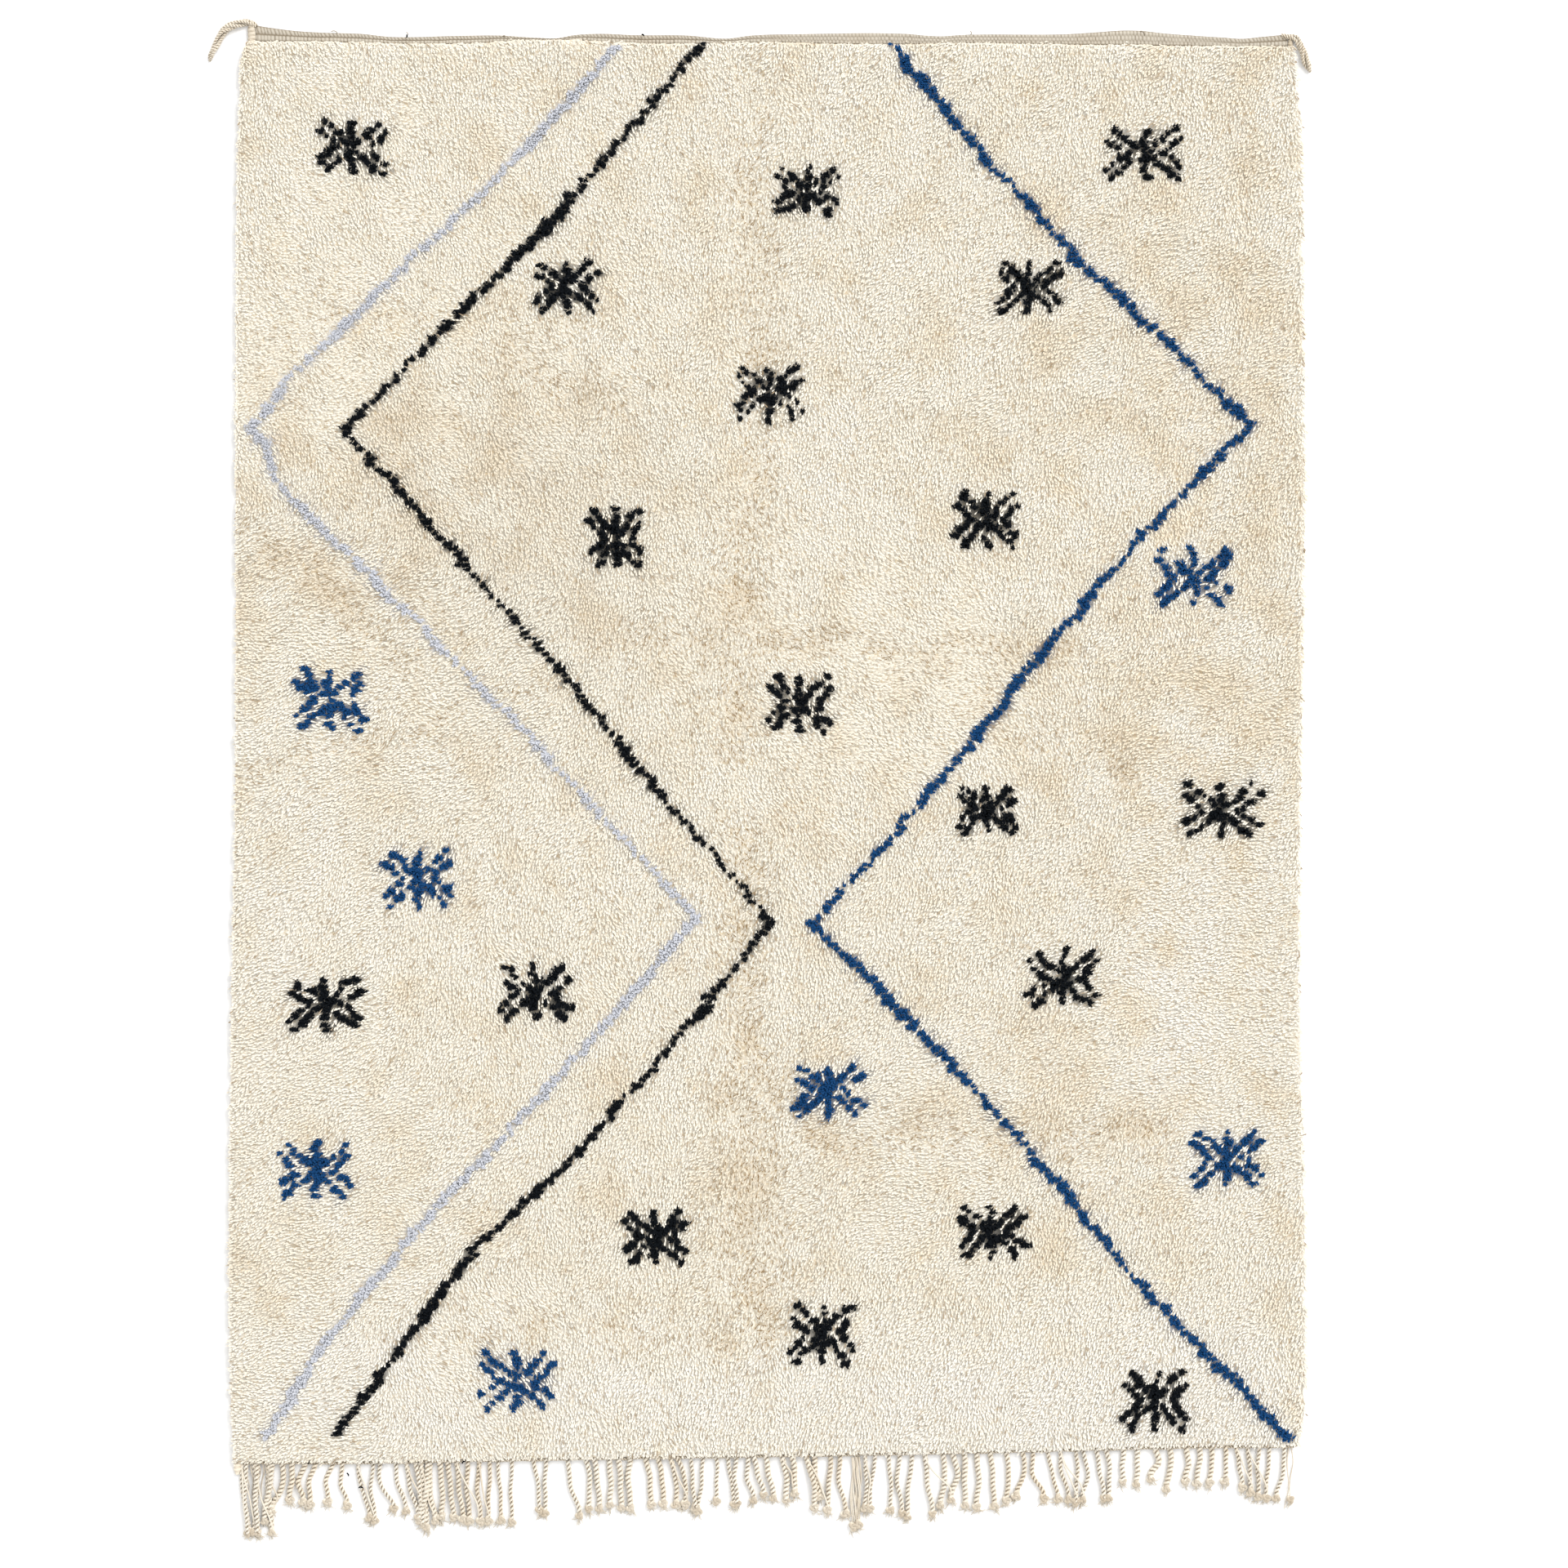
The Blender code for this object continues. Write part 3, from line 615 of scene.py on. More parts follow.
def yarnEnds(step, longest, seed, lift=0.0):
    # Where each end shows, it points the way of the nap, turned outwards near an edge. Its
    # root lies back along it, nearer if the field ends there, and its tip further on, risen
    # from the root's height to the tip's: the run is the square root of length^2 - rise^2.
    dice = np.random.default_rng(seed)
    over, past = pile["overRoll"], pile["overEnds"]
    x, y = endPlaces(step, dice)
    ways, nearest = edgeDistance(x, y, over, past)
    way, pull = napAt(x, y)
    fold = foldAt(x, y)
    scatter = nap["scatter"] * (1 + pile["foldScatter"] * fold)
    way = way + np.radians(scatter) * dice.normal(0, 1, len(x))
    beside = np.minimum(ways[0], ways[1]) < np.minimum(ways[2], ways[3])
    turn = (np.clip(1 - nearest / pile["edgeReach"], 0, 1) ** 1.3
            * np.where(beside, *pile["turnOut"]))
    outX, outY = (np.where(nearest == low, -1.0, np.where(nearest == high, 1.0, 0.0))
                  for low, high in (ways[:2], ways[2:]))
    dirX, dirY = np.cos(way) + turn * outX, np.sin(way) + turn * outY
    size = np.hypot(dirX, dirY)
    dirX, dirY = dirX / size, dirY / size

    spread = 1 + pile["lengthSpread"] * dice.normal(0, 1, len(x))
    length = longest * spread.clip(*pile["lengthLimits"])
    rim = shoulderAt(ways, pile["sideFill"])
    rootShare = pile["rimRoot"] + (1 - pile["rimRoot"]) * rim
    tipShare = pile["rimTip"] + (1 - pile["rimTip"]) * rim
    hills = pile["hills"] * softWaves(x, y, pile["hillSize"], 71)
    drop = pile["foldDrop"] * fold
    root = pile["rootHeight"] * rootShare + hills * 0.5 - drop * 0.6
    uneven = dice.normal(0, pile["tipSpread"], len(x)) * (1 + pile["foldUneven"] * fold)
    tip = (pile["tipHeight"] * tipShare + hills - drop + lift + uneven
           + pile["upright"] * (0.75 - pull))
    least, most = pile["riseLimits"]
    rise = np.clip(tip - root, least, length * most)
    run = np.sqrt(length**2 - rise**2) * (1 - pile["foldShort"] * np.clip(fold, 0, 1))
    back = pile["seen"][1] * run
    rooted = edgeDistance(x - back * dirX, y - back * dirY, over, past)[1]
    room = (nearest - pile["inside"]) / np.maximum(nearest - rooted, 1e-9)
    back = back * np.where(rooted < pile["inside"], room.clip(0.15, 1), 1.0)
    run = back + (1 - pile["seen"][1]) * run
    foot = np.stack([x - back * dirX, y - back * dirY, root], 1)
    return foot, np.stack([dirX * run, dirY * run, rise], 1), fold, dice


wool = {
    # undyed wool in the pile, in hard-twisted yarn and in the woven heading: its usual tone,
    # palest, warmest, and the colour of the painted shade between its strands
    "pile": ((0.870, 0.806, 0.680), (0.905, 0.865, 0.785), (0.790, 0.665, 0.485),
             (0.270, 0.185, 0.095)),
    "yarn": ((0.885, 0.820, 0.700), (0.915, 0.875, 0.790), (0.800, 0.675, 0.500),
             (0.290, 0.225, 0.150)),
    "weave": ((0.580, 0.530, 0.445), (0.660, 0.620, 0.545), (0.520, 0.440, 0.335),
              (0.360, 0.305, 0.235)),
    "black": (0.0030, 0.0045, 0.0065),
    "blue": (0.0065, 0.050, 0.152),
    "palest": (0.560, 0.575, 0.625),     # the worn grey-blue yarn
    "mottle": (17.0, 5.0, 0.60),     # scale, detail and roughness of the soft mottle
    "mottleSwing": 1.8,
    "roughness": 0.88,
    "sheen": 0.25,
    "specular": 0.25,
    "dyedSpecular": 0.12,
}
toneNames = ("Cream", "Pale", "Tan", "PaintedShade")

finishes = {
    # each material's map, its tones, its strands across and along in a metre, and the depth
    # of their bump
    "pile wool": ("yarnRun", "pile", 900.0, 130.0, 0.0004),
    "dyed pile wool": ("yarnRun", "pile", 900.0, 130.0, 0.0004),
    "packed pile wool": (None, "pile", 900.0, 900.0, 0.0006),
    "fringe cord": ("yarnRun", "yarn", 2200.0, 200.0, 0.0005),
    "edge wool": ("yarnRun", "yarn", 500.0, 1500.0, 0.0006),
    "flat weave": (None, "weave", 900.0, 900.0, 0.0006),
}
fibreContrast = 0.22
bedBump = (0.0016, 0.8)      # depth and strength of the tufts on the thick of the pile

groundWool = {
    # the light threads, and the dark of the painted shade where they dip
    "light": (0.62, 0.56, 0.46),
    "dark": (0.40, 0.35, 0.27),
    "threads": 60.0,
    "strands": (700.0, 300.0),
    "contrast": 0.25,
    "bump": 0.0006,
}


def newGroup(name, ins, outs):
    # ins are (name, kind, default) rows, and outs are (name, kind) rows
    group = bpy.data.node_groups.new(name, "ShaderNodeTree")
    for label, kind, value in ins:
        socket = group.interface.new_socket(name=label, in_out="INPUT",
                                            socket_type="NodeSocket" + kind)
        if value is not None:
            socket.default_value = value
    for label, kind in outs:
        group.interface.new_socket(name=label, in_out="OUTPUT", socket_type="NodeSocket" + kind)
    given = group.nodes.new("NodeGroupInput").outputs
    return group, given, group.nodes.new("NodeGroupOutput")


def put(tree, kind, links=None, **settings):
    # Adds a node: settings are its own options, links its inputs, each a value or a socket.
    node = tree.nodes.new(kind)
    for key, value in settings.items():
        setattr(node, key, value)
    for key, value in (links or {}).items():
        if isinstance(value, bpy.types.NodeSocket):
            tree.links.new(value, node.inputs[key])
        else:
            node.inputs[key].default_value = value
    return node


def use(tree, group, **values):
    # places a node group, its inputs each a value or a socket
    return put(tree, "ShaderNodeGroup", values, node_tree=group)


def mixed(tree, factor, a, b, how="MIX"):
    # a colour mix; its colour sockets are numbers 6 and 7 of the node
    node = put(tree, "ShaderNodeMix", {0: factor, 6: a, 7: b}, data_type="RGBA", blend_type=how)
    return node.outputs[2]


def shaded(tree, colour, by):
    # one colour multiplied by another
    return mixed(tree, 1.0, colour, by, "MULTIPLY")


def grey(tree, value):
    return put(tree, "ShaderNodeCombineColor", dict.fromkeys(range(3), value)).outputs[0]


def parts(tree, colour):
    # its red, green and blue
    return put(tree, "ShaderNodeSeparateColor", {0: colour}).outputs


def ranged(tree, value, low, high, toLow=0.0, toHigh=1.0):
    # low to high made toLow to toHigh, and no further
    links = {"Value": value, "From Min": low, "From Max": high, "To Min": toLow, "To Max": toHigh}
    return put(tree, "ShaderNodeMapRange", links).outputs[0]


def noise(tree, place, scale, detail=2.0, roughness=0.5):
    links = {"Vector": place, "Scale": scale, "Detail": detail, "Roughness": roughness}
    return put(tree, "ShaderNodeTexNoise", links).outputs[0]


def vectors(tree, how, a, b):
    node = put(tree, "ShaderNodeVectorMath", {0: a, 1: b}, operation=how)
    return node.outputs["Value" if how == "DOT_PRODUCT" else 0]


def bumped(tree, shader, height, depth, strength, over=None):
    # a bump from a height, over the normal that is there already
    links = {"Height": height, "Distance": depth, "Strength": strength}
    if over:
        links["Normal"] = over
    bump = put(tree, "ShaderNodeBump", links)
    tree.links.new(bump.outputs["Normal"], shader.inputs["Normal"])


def objectPlace(tree):
    return put(tree, "ShaderNodeTexCoord").outputs["Object"]


def sums(tree, how, a, b, clamp=False):
    return put(tree, "ShaderNodeMath", {0: a, 1: b}, operation=how, use_clamp=clamp).outputs[0]


def rgb(colour):
    return (*colour, 1.0)


def strandGroup():
    # Fine strands running along the second coordinate: noise stretched along it, with a
    # coarser noise that gathers the strands into locks.
    group, given, out = newGroup(
        "wool strands",
        [("Place", "Vector", None), ("Across", "Float", 900.0), ("Along", "Float", 120.0),
         ("Contrast", "Float", 1.0)],
        [("Shade", "Float"), ("Height", "Float")])
    size = put(group, "ShaderNodeCombineXYZ",
               {0: given["Across"], 1: given["Along"], 2: given["Across"]})
    place = vectors(group, "MULTIPLY", given["Place"], size.outputs[0])
    fine = noise(group, place, 1.0, 2.0, 0.6)
    locks = noise(group, place, 0.3, 1.0, 0.5)
    both = sums(group, "ADD", sums(group, "MULTIPLY", fine, 0.6),
                sums(group, "MULTIPLY", locks, 0.4))
    shade = sums(group, "MULTIPLY", sums(group, "SUBTRACT", both, 0.5), given["Contrast"])
    group.links.new(shade, out.inputs["Shade"])
    group.links.new(both, out.inputs["Height"])
    return group


def tuftGroup():
    # Yarn tufts lying the way the nap points. Locks 14 mm across each have their own frame,
    # turned to the nap; in it, cells longer than wide are the tufts, each rising from its
    # root to its tip like a shingle.
    group, given, out = newGroup(
        "lying tufts",
        [("Place", "Vector", None), ("Nap", "Vector", None), ("Across", "Float", 300.0),
         ("Along", "Float", 125.0)],
        [("Height", "Float"), ("Chance", "Float")])
    locks = put(group, "ShaderNodeTexVoronoi", {"Vector": given["Place"], "Scale": 70.0})
    local = vectors(group, "SUBTRACT", given["Place"], locks.outputs["Position"])
    side = put(group, "ShaderNodeVectorRotate", {"Vector": given["Nap"], "Angle": math.pi / 2},
               rotation_type="Z_AXIS")
    ahead = vectors(group, "DOT_PRODUCT", local, given["Nap"])
    beside = vectors(group, "DOT_PRODUCT", local, side.outputs[0])
    framed = put(group, "ShaderNodeCombineXYZ", {
        0: sums(group, "MULTIPLY", ahead, given["Along"]),
        1: sums(group, "MULTIPLY", beside, given["Across"]),
        2: sums(group, "MULTIPLY", parts(group, locks.outputs["Color"])[0], 90.0)}).outputs[0]
    tufts = put(group, "ShaderNodeTexVoronoi", {"Vector": framed, "Scale": 1.0})
    offset = vectors(group, "SUBTRACT", framed, tufts.outputs["Position"])
    part = put(group, "ShaderNodeSeparateXYZ", {0: offset})
    slope = sums(group, "MULTIPLY", part.outputs[0], 0.55)
    rounded = sums(group, "SUBTRACT", 0.85, tufts.outputs["Distance"])
    group.links.new(sums(group, "ADD", slope, rounded, clamp=True), out.inputs["Height"])
    group.links.new(parts(group, tufts.outputs["Color"])[0], out.inputs["Chance"])
    return group


def woolGroup():
    # Undyed wool: three natural tones by the piece's own warmth and lightness, with a soft
    # mottle over them; Depth mixes in painted shade, darker towards the root.
    group, given, out = newGroup(
        "undyed wool",
        [("Place", "Vector", None), ("Warmth", "Float", 0.5), ("Lightness", "Float", 0.5),
         ("Depth", "Float", 0.0),
         *((label, "Color", rgb(tone)) for label, tone in zip(toneNames, wool["pile"]))],
        [("Color", "Color")])
    mottle = noise(group, given["Place"], *wool["mottle"])
    swing = sums(group, "MULTIPLY", sums(group, "SUBTRACT", mottle, 0.5), wool["mottleSwing"])
    warm = sums(group, "ADD", given["Warmth"], swing)
    light = sums(group, "SUBTRACT", given["Lightness"], sums(group, "MULTIPLY", swing, 0.6))
    colour = mixed(group, ranged(group, warm, 0.5, 1.5), given["Cream"], given["Tan"])
    colour = mixed(group, ranged(group, light, 0.5, 1.3), colour, given["Pale"])
    # painted shade: the darkening colour, multiplied in as far as Depth says
    deep = mixed(group, given["Depth"], colour, given["PaintedShade"], "MULTIPLY")
    # low lightness darkens it: the wool's own tone, and painted shade between wraps and ribs
    toneAndShade = grey(group, ranged(group, light, -0.3, 0.5, 0.86, 1.0))
    group.links.new(shaded(group, deep, toneAndShade), out.inputs["Color"])
    return group


strands = strandGroup()
tufts = tuftGroup()
undyed = woolGroup()


def newMaterial(name, sheen=wool["sheen"], specular=wool["specular"]):
    material = bpy.data.materials.new(name)
    material.use_nodes = True
    tree = material.node_tree
    shader = tree.nodes["Principled BSDF"]
    for socket, value in (("Roughness", wool["roughness"]), ("Specular IOR Level", specular),
                          ("Sheen Weight", sheen), ("Sheen Roughness", 0.5)):
        shader.inputs[socket].default_value = value
    return material, tree, shader


def finishWool(tree, shader, colour, place, across, along, contrast, bumpDepth):
    # strands over the colour, in the bump and in the roughness
    fibre = use(tree, strands, Place=place, Across=across, Along=along, Contrast=contrast)
    lift = grey(tree, sums(tree, "ADD", fibre.outputs["Shade"], 1.0))
    tree.links.new(shaded(tree, colour, lift), shader.inputs["Base Color"])
    rough = ranged(tree, fibre.outputs["Height"], 0.3, 0.7, 0.98, 0.80)
    tree.links.new(rough, shader.inputs["Roughness"])
    bumped(tree, shader, fibre.outputs["Height"], bumpDepth, 0.6)


def woolMaterial(name, **gloss):
    # Wool: the point colours say which yarn it is, how warm and light it is, and how deep
    # its painted shade is.
    mapName, tones, across, along, bumpDepth = finishes[name]
    material, tree, shader = newMaterial(name, **gloss)
    kind, lie = (parts(tree, put(tree, "ShaderNodeAttribute", attribute_name=label).outputs["Color"])
                 for label in ("yarn", "tone"))
    place = objectPlace(tree)
    base = use(tree, undyed, Place=place, Warmth=lie[0], Lightness=lie[1], Depth=lie[2],
               **dict(zip(toneNames, map(rgb, wool[tones]))))
    colour = base.outputs["Color"]
    for socket, dye in ((2, "palest"), (1, "blue"), (0, "black")):
        colour = mixed(tree, kind[socket], colour, rgb(wool[dye]))
    if mapName:
        place = put(tree, "ShaderNodeUVMap", uv_map=mapName).outputs[0]
    finishWool(tree, shader, colour, place, across, along, fibreContrast, bumpDepth)
    return material


def bedMaterial(name):
    # The thick of the pile: wool as above, with tufts lying the way of the nap, painted with
    # shade where they are low.
    material = woolMaterial(name)
    tree = material.node_tree
    shader = tree.nodes["Principled BSDF"]
    lie = put(tree, "ShaderNodeAttribute", attribute_name="nap").outputs
    lying = use(tree, tufts, Place=objectPlace(tree), Nap=lie["Vector"])
    opened = put(tree, "ShaderNodeMath",
                 {0: lie["Alpha"], 1: pile["foldOpen"], 2: pile["crevice"]},
                 operation="MULTIPLY_ADD").outputs[0]
    # painted shade between the tufts, wider in folds
    lit = ranged(tree, lying.outputs["Height"], 0.02, opened)
    own = grey(tree, ranged(tree, lying.outputs["Chance"], 0.0, 1.0, 0.92, 1.0))
    colour, normal = (shader.inputs[socket].links[0].from_socket
                      for socket in ("Base Color", "Normal"))
    colour = shaded(tree, colour, mixed(tree, lit, rgb(pile["gap"]), own))
    tree.links.new(colour, shader.inputs["Base Color"])
    bumped(tree, shader, lying.outputs["Height"], *bedBump, normal)
    return material


def weaveMaterial(name):
    # Plain weave seen close: two crossed waves, one for each set of threads, over the wool,
    # with painted shade where the threads dip.
    material, tree, shader = newMaterial(name)
    where = objectPlace(tree)
    bands = []
    for turn in (0.0, math.pi / 2):
        place = put(tree, "ShaderNodeMapping", {"Vector": where, "Rotation": (0, 0, turn)})
        wave = put(tree, "ShaderNodeTexWave", {"Vector": place.outputs[0], "Distortion": 0.6,
                                               "Scale": groundWool["threads"], "Detail": 2.0})
        bands.append(wave.outputs["Fac"])
    colour = mixed(tree, sums(tree, "MULTIPLY", *bands), rgb(groundWool["dark"]),
                   rgb(groundWool["light"]))
    finishWool(tree, shader, colour, where, *groundWool["strands"], groundWool["contrast"],
               groundWool["bump"])
    return material


def yarnAlong(foot, way):
    # which yarn the chart has at the places along each end that show
    return np.stack([yarnAt(foot[:, 0] + t * way[:, 0], foot[:, 1] + t * way[:, 1])
                     for t in pile["seen"]])


def yarnColours(kind):
    return np.stack([kind == 1, kind == 2, kind == 3], 1).astype(float)


def pilePoints(x, y, fold, depth, dice):
    # The two point colours of the pile: which yarn, and warmth, lightness and depth of painted
    # shade. Cream close to a dark yarn is cooler and lighter; folds are warmer and duller, as
    # painted shade where the pile parts.
    kind = yarnAt(x, y)
    warm, light = toneSpots(x, y)
    halo = nearDark(x, y) * (kind == 0)
    hills = shades["hills"] * softWaves(x, y, shades["hillSize"], 74)
    warm = (0.5 + warm * shades["warmth"] + shades["foldWarm"] * fold + hills
            + dice.normal(0, shades["warmSpread"], len(x)) - shades["haloCool"] * halo)
    light = (0.5 + light * shades["lightness"] - shades["foldDull"] * fold
             + dice.normal(0, shades["lightSpread"], len(x)) + shades["haloLight"] * halo)
    return yarnColours(kind), np.stack([warm, light, depth], 1).clip(0, 1)


def bakeCells(mesh, count, corners):
    # The baked map of so many small shapes: each has a square cell of its own, and corners
    # says where the points of a shape lie in it.
    across = math.ceil(math.sqrt(count))
    cell = np.stack([np.arange(count) % across, np.arange(count) // across], 1)[:, None]
    setMap(mesh, "OFBake", ((cell + corners) / across).reshape(-1, 2)[cornerPoints(mesh)])


def makeEnds(name, foot, way, fold, halfWidth, evenness, material, dice):
    # Each yarn end is a closed four-sided leaf: root, two shoulders near the blunt end and
    # raised over its line, and tip. The shading leans off the leaf by rounding, and evenness
    # times straight up is added to it.
    count = len(foot)
    along = way / np.linalg.norm(way, axis=1, keepdims=True)
    side = np.stack([-along[:, 1], along[:, 0], np.zeros(count)], 1)
    side /= np.linalg.norm(side, axis=1, keepdims=True)
    up = np.cross(along, side)
    roll = dice.normal(0, pile["roll"], count)[:, None]
    side, up = side * np.cos(roll) + up * np.sin(roll), up * np.cos(roll) - side * np.sin(roll)
    widest = pile["widest"] + dice.uniform(-1, 1, count) * pile["widestSpread"]
    dark = dice.random(count) < pile["darkShare"] + pile["foldDarkShare"] * fold
    # a dark one lies flat on the others, where it is seen as a fine line of painted shade
    rise = dark * pile["darkFlat"] * way[:, 2]
    foot, way = foot.copy(), way.copy()
    foot[:, 2] += rise + dark * pile["darkLift"]
    way[:, 2] -= rise
    middle = foot + widest[:, None] * way + up * pile["arch"]
    wide = halfWidth * dice.uniform(*pile["widths"], count)
    wide = wide * (1 - pile["foldNarrow"] * fold) * (1 - pile["darkNarrow"] * dark)
    half = side * wide[:, None]
    ends = np.stack([foot, middle + half, middle - half, foot + way], 1)
    atRoot, atSides, atTip = pile["rounding"]
    normals = np.stack([up - atRoot * along, up + atSides * side, up - atSides * side,
                        up + atTip * along], 1)
    even = evenness * (1 - pile["foldEven"] * fold.clip(0, 1))
    normals += even[:, None, None] * np.array([0, 0, 1.0])
    normals /= np.linalg.norm(normals, axis=2, keepdims=True)

    first = np.arange(count)[:, None] * 4
    faces = [first + np.array(corners) for corners in
             ([1, 2, 3], [2, 1, 0], [1, 3, 0], [2, 0, 3])]
    mesh = meshOf(name, ends.reshape(-1, 3), [np.concatenate(faces)])
    shown = foot + pile["seen"][1] * way
    yarn, tone = pilePoints(shown[:, 0], shown[:, 1], fold, np.zeros(count), dice)
    tones = np.repeat(tone, 4, 0)
    # depth is painted shade: a little at the root, and over the whole of a dark end
    usual, inFold = pile["darkDepth"]
    deep = pile["rootDeep"] + np.outer(dark * (usual + inFold * fold), pile["shadeDeep"])
    tones[:, 2] = deep.ravel()
    setPointColours(mesh, "yarn", np.repeat(yarn, 4, 0))
    setPointColours(mesh, "tone", tones.clip(0, 1))
    # the baked map gives each end a small diamond of its own; yarnRun follows the strands
    bakeCells(mesh, count, np.array([[0.5, 0.02], [0.02, 0.55], [0.98, 0.55], [0.5, 0.98]]))
    run = np.array([[0, 0], [-0.0016, 0.0080], [0.0016, 0.0080], [0, 0.0138]])
    run = run + dice.uniform(0, 1, (count, 1, 2))
    setMap(mesh, "yarnRun", run.reshape(-1, 2)[cornerPoints(mesh)])
    obj = addPiece(mesh, material, "pile_field")
    mesh.normals_split_custom_set_from_vertices(normals.reshape(-1, 3))
    return obj


def makePile(material):
    # the cream yarn ends, in strips down the rug
    foot, way, fold, dice = yarnEnds(pile["spacing"], pile["length"], 11)
    plain = (yarnAlong(foot, way) == 0).all(0)
    strip = ((foot[:, 0] + 0.75) / 1.50 * pile["strips"]).astype(int)
    strip = np.clip(strip, 0, pile["strips"] - 1)
    mine = [(strip == number) & plain for number in range(pile["strips"])]
    return [makeEnds(f"pile_strip_{number + 1}", foot[own], way[own], fold[own],
                     pile["halfWidth"], pile["evenness"], material, dice)
            for number, own in enumerate(mine)]


def makePattern(material):
    # the dyed yarn ends, closer together and a little proud of the cream
    foot, way, fold, dice = yarnEnds(pile["dyedSpacing"], pile["dyedLength"], 13,
                                     pile["dyedLift"])
    along = yarnAlong(foot, way) > 0
    dyed = along[1] & (along.sum(0) >= 2)
    return makeEnds("pattern_yarn", foot[dyed], way[dyed], fold[dyed], pile["dyedHalfWidth"],
                    pile["dyedEvenness"], material, dice)


def makeKnots(material):
    # The body of each dyed knot under its yarn ends: a block that narrows upwards, its top
    # turned a little its own way.
    rows = [(a, b, size, yarn) for yarn, (x, y, sizes) in knots for a, b, size in zip(x, y, sizes)]
    x, y, size, yarn = np.array(rows).T
    dice = np.random.default_rng(14)
    count = len(x)
    turn = dice.uniform(-1, 1, (count, 1)) * pile["knotTurn"] + (np.arange(4) + 0.5) * math.pi / 2
    half = pile["knotHalf"] * math.sqrt(2) * pattern["knotWide"] * size[:, None]
    top = pile["knotTop"] - pile["foldDrop"] * foldAt(x, y)
    atEdge = edgeDistance(x, y)[1] < pile["shoulder"]
    top = top - pile["knotTop"] * pile["knotEdgeDrop"] * atEdge
    low = np.full(count, pile["groundTop"] + 0.0004)
    rings = [np.stack([x[:, None] + half * shrink * np.cos(turn),
                       y[:, None] + half * shrink * np.sin(turn),
                       np.repeat(height[:, None], 4, 1)], -1)
             for shrink, height in zip(pile["knotTaper"], (low, top))]
    first = np.arange(count)[:, None] * 8
    corners = [[k, (k + 1) % 4, 4 + (k + 1) % 4, 4 + k] for k in range(4)]
    faces = np.concatenate([first + np.array(c) for c in (*corners, [4, 5, 6, 7], [3, 2, 1, 0])])
    mesh = meshOf("pattern_knots", np.concatenate(rings, 1).reshape(-1, 3), [faces])
    setPointColours(mesh, "yarn", yarnColours(np.repeat(yarn, 8)))
    # painted shade, as the bodies lie under the yarn ends
    setPointColours(mesh, "tone", np.tile(pile["knotTone"], (count * 8, 1)))
    # on the baked map the whole block is one small square, seen from above
    quarters = np.arange(4) * math.pi / 2
    wide = np.stack([np.cos(quarters), np.sin(quarters)], 1)
    bakeCells(mesh, count, np.concatenate([0.5 + 0.48 * wide, 0.5 + 0.30 * wide]))
    return addPiece(mesh, material, "pile_field")


def makeSlab(name, x, y, z, foot, width, length):
    # A closed slab whose top is a grid of points: the top, a wall down to a second copy of
    # its rim, and one many-sided face below, at the height foot.
    rows, columns = z.shape
    grid = np.arange(columns * rows).reshape(rows, columns)
    top = np.stack([grid[:-1, :-1], grid[:-1, 1:], grid[1:, 1:], grid[1:, :-1]], -1).reshape(-1, 4)
    rim = np.concatenate([grid[0, :-1], grid[:-1, -1], grid[-1, :0:-1], grid[:0:-1, 0]])
    low = columns * rows + np.arange(len(rim))
    walls = np.stack([rim, low, np.roll(low, -1), np.roll(rim, -1)], -1)
    points = np.stack([np.broadcast_to(x, z.shape), y, z], -1).reshape(-1, 3)
    points = np.concatenate([points, points[rim]])
    points[columns * rows:, 2] = foot
    mesh = meshOf(name, points, [top, walls, low[None, ::-1]])
    slabMap(mesh, points[:, :2].astype(np.float32), width, length, len(top), len(walls))
    return mesh, points, rim


def slabMap(mesh, place, width, length, tops, walls):
    # The baked map of a slab: its top seen from above on the left, its walls as a strip beside
    # it, and its underside small on the right. tops and walls are numbers of faces.
    longest = max(width, length)
    strip, under = (min(width / longest + gap, 0.96) for gap in (0.01, 0.03))
    middle = (place.min(0) + place.max(0)) / 2
    uv = (place[cornerPoints(mesh)] - middle) / (1.04 * longest)
    uv += (0.5 * width / longest + 0.005, 0.5)
    wall = slice(4 * tops, 4 * (tops + walls))
    uv[wall, 0] = strip + np.tile([0, 0.02, 0.02, 0], walls)
    uv[wall, 1] = (np.repeat(np.arange(walls), 4) + np.tile([0, 0, 1, 1], walls)) / walls
    rest = slice(4 * (tops + walls), None)
    uv[rest] = (uv[rest] - 0.5) * (0.97 - under) + ((under + 1.0) / 2, 0.5)
    setMap(mesh, "OFBake", uv)


def fieldGrid(columns, rows, inset=0.0, over=(0.0, 0.0)):
    # Points over the pile field, u across and v up it, from its four edges, widened at the
    # sides by those shares of the overcast edges.
    u, v = np.meshgrid(columns, rows)
    level = -1.0 + 1.99 * v
    left = fieldLeft(level) + inset - over[0] * outline["leftRoll"]
    right = fieldRight(level) - inset + over[1] * outline["rightRoll"]
    x = left + (right - left) * u
    low, high = edgeAcross("lower", x) + inset, edgeAcross("seam", x) - outline["seamGap"] - inset
    return x, low + (high - low) * v


def bedShares(length):
    # places over one side of the bed as shares of it, close together over the shoulders
    edge = np.array([0.0, 0.0012, 0.0030, 0.0054])
    inner = np.arange(pile["shoulder"] + 0.001, length - pile["shoulder"], pile["bedCell"])
    return np.concatenate([edge / length, inner / length, 1 - edge[::-1] / length])


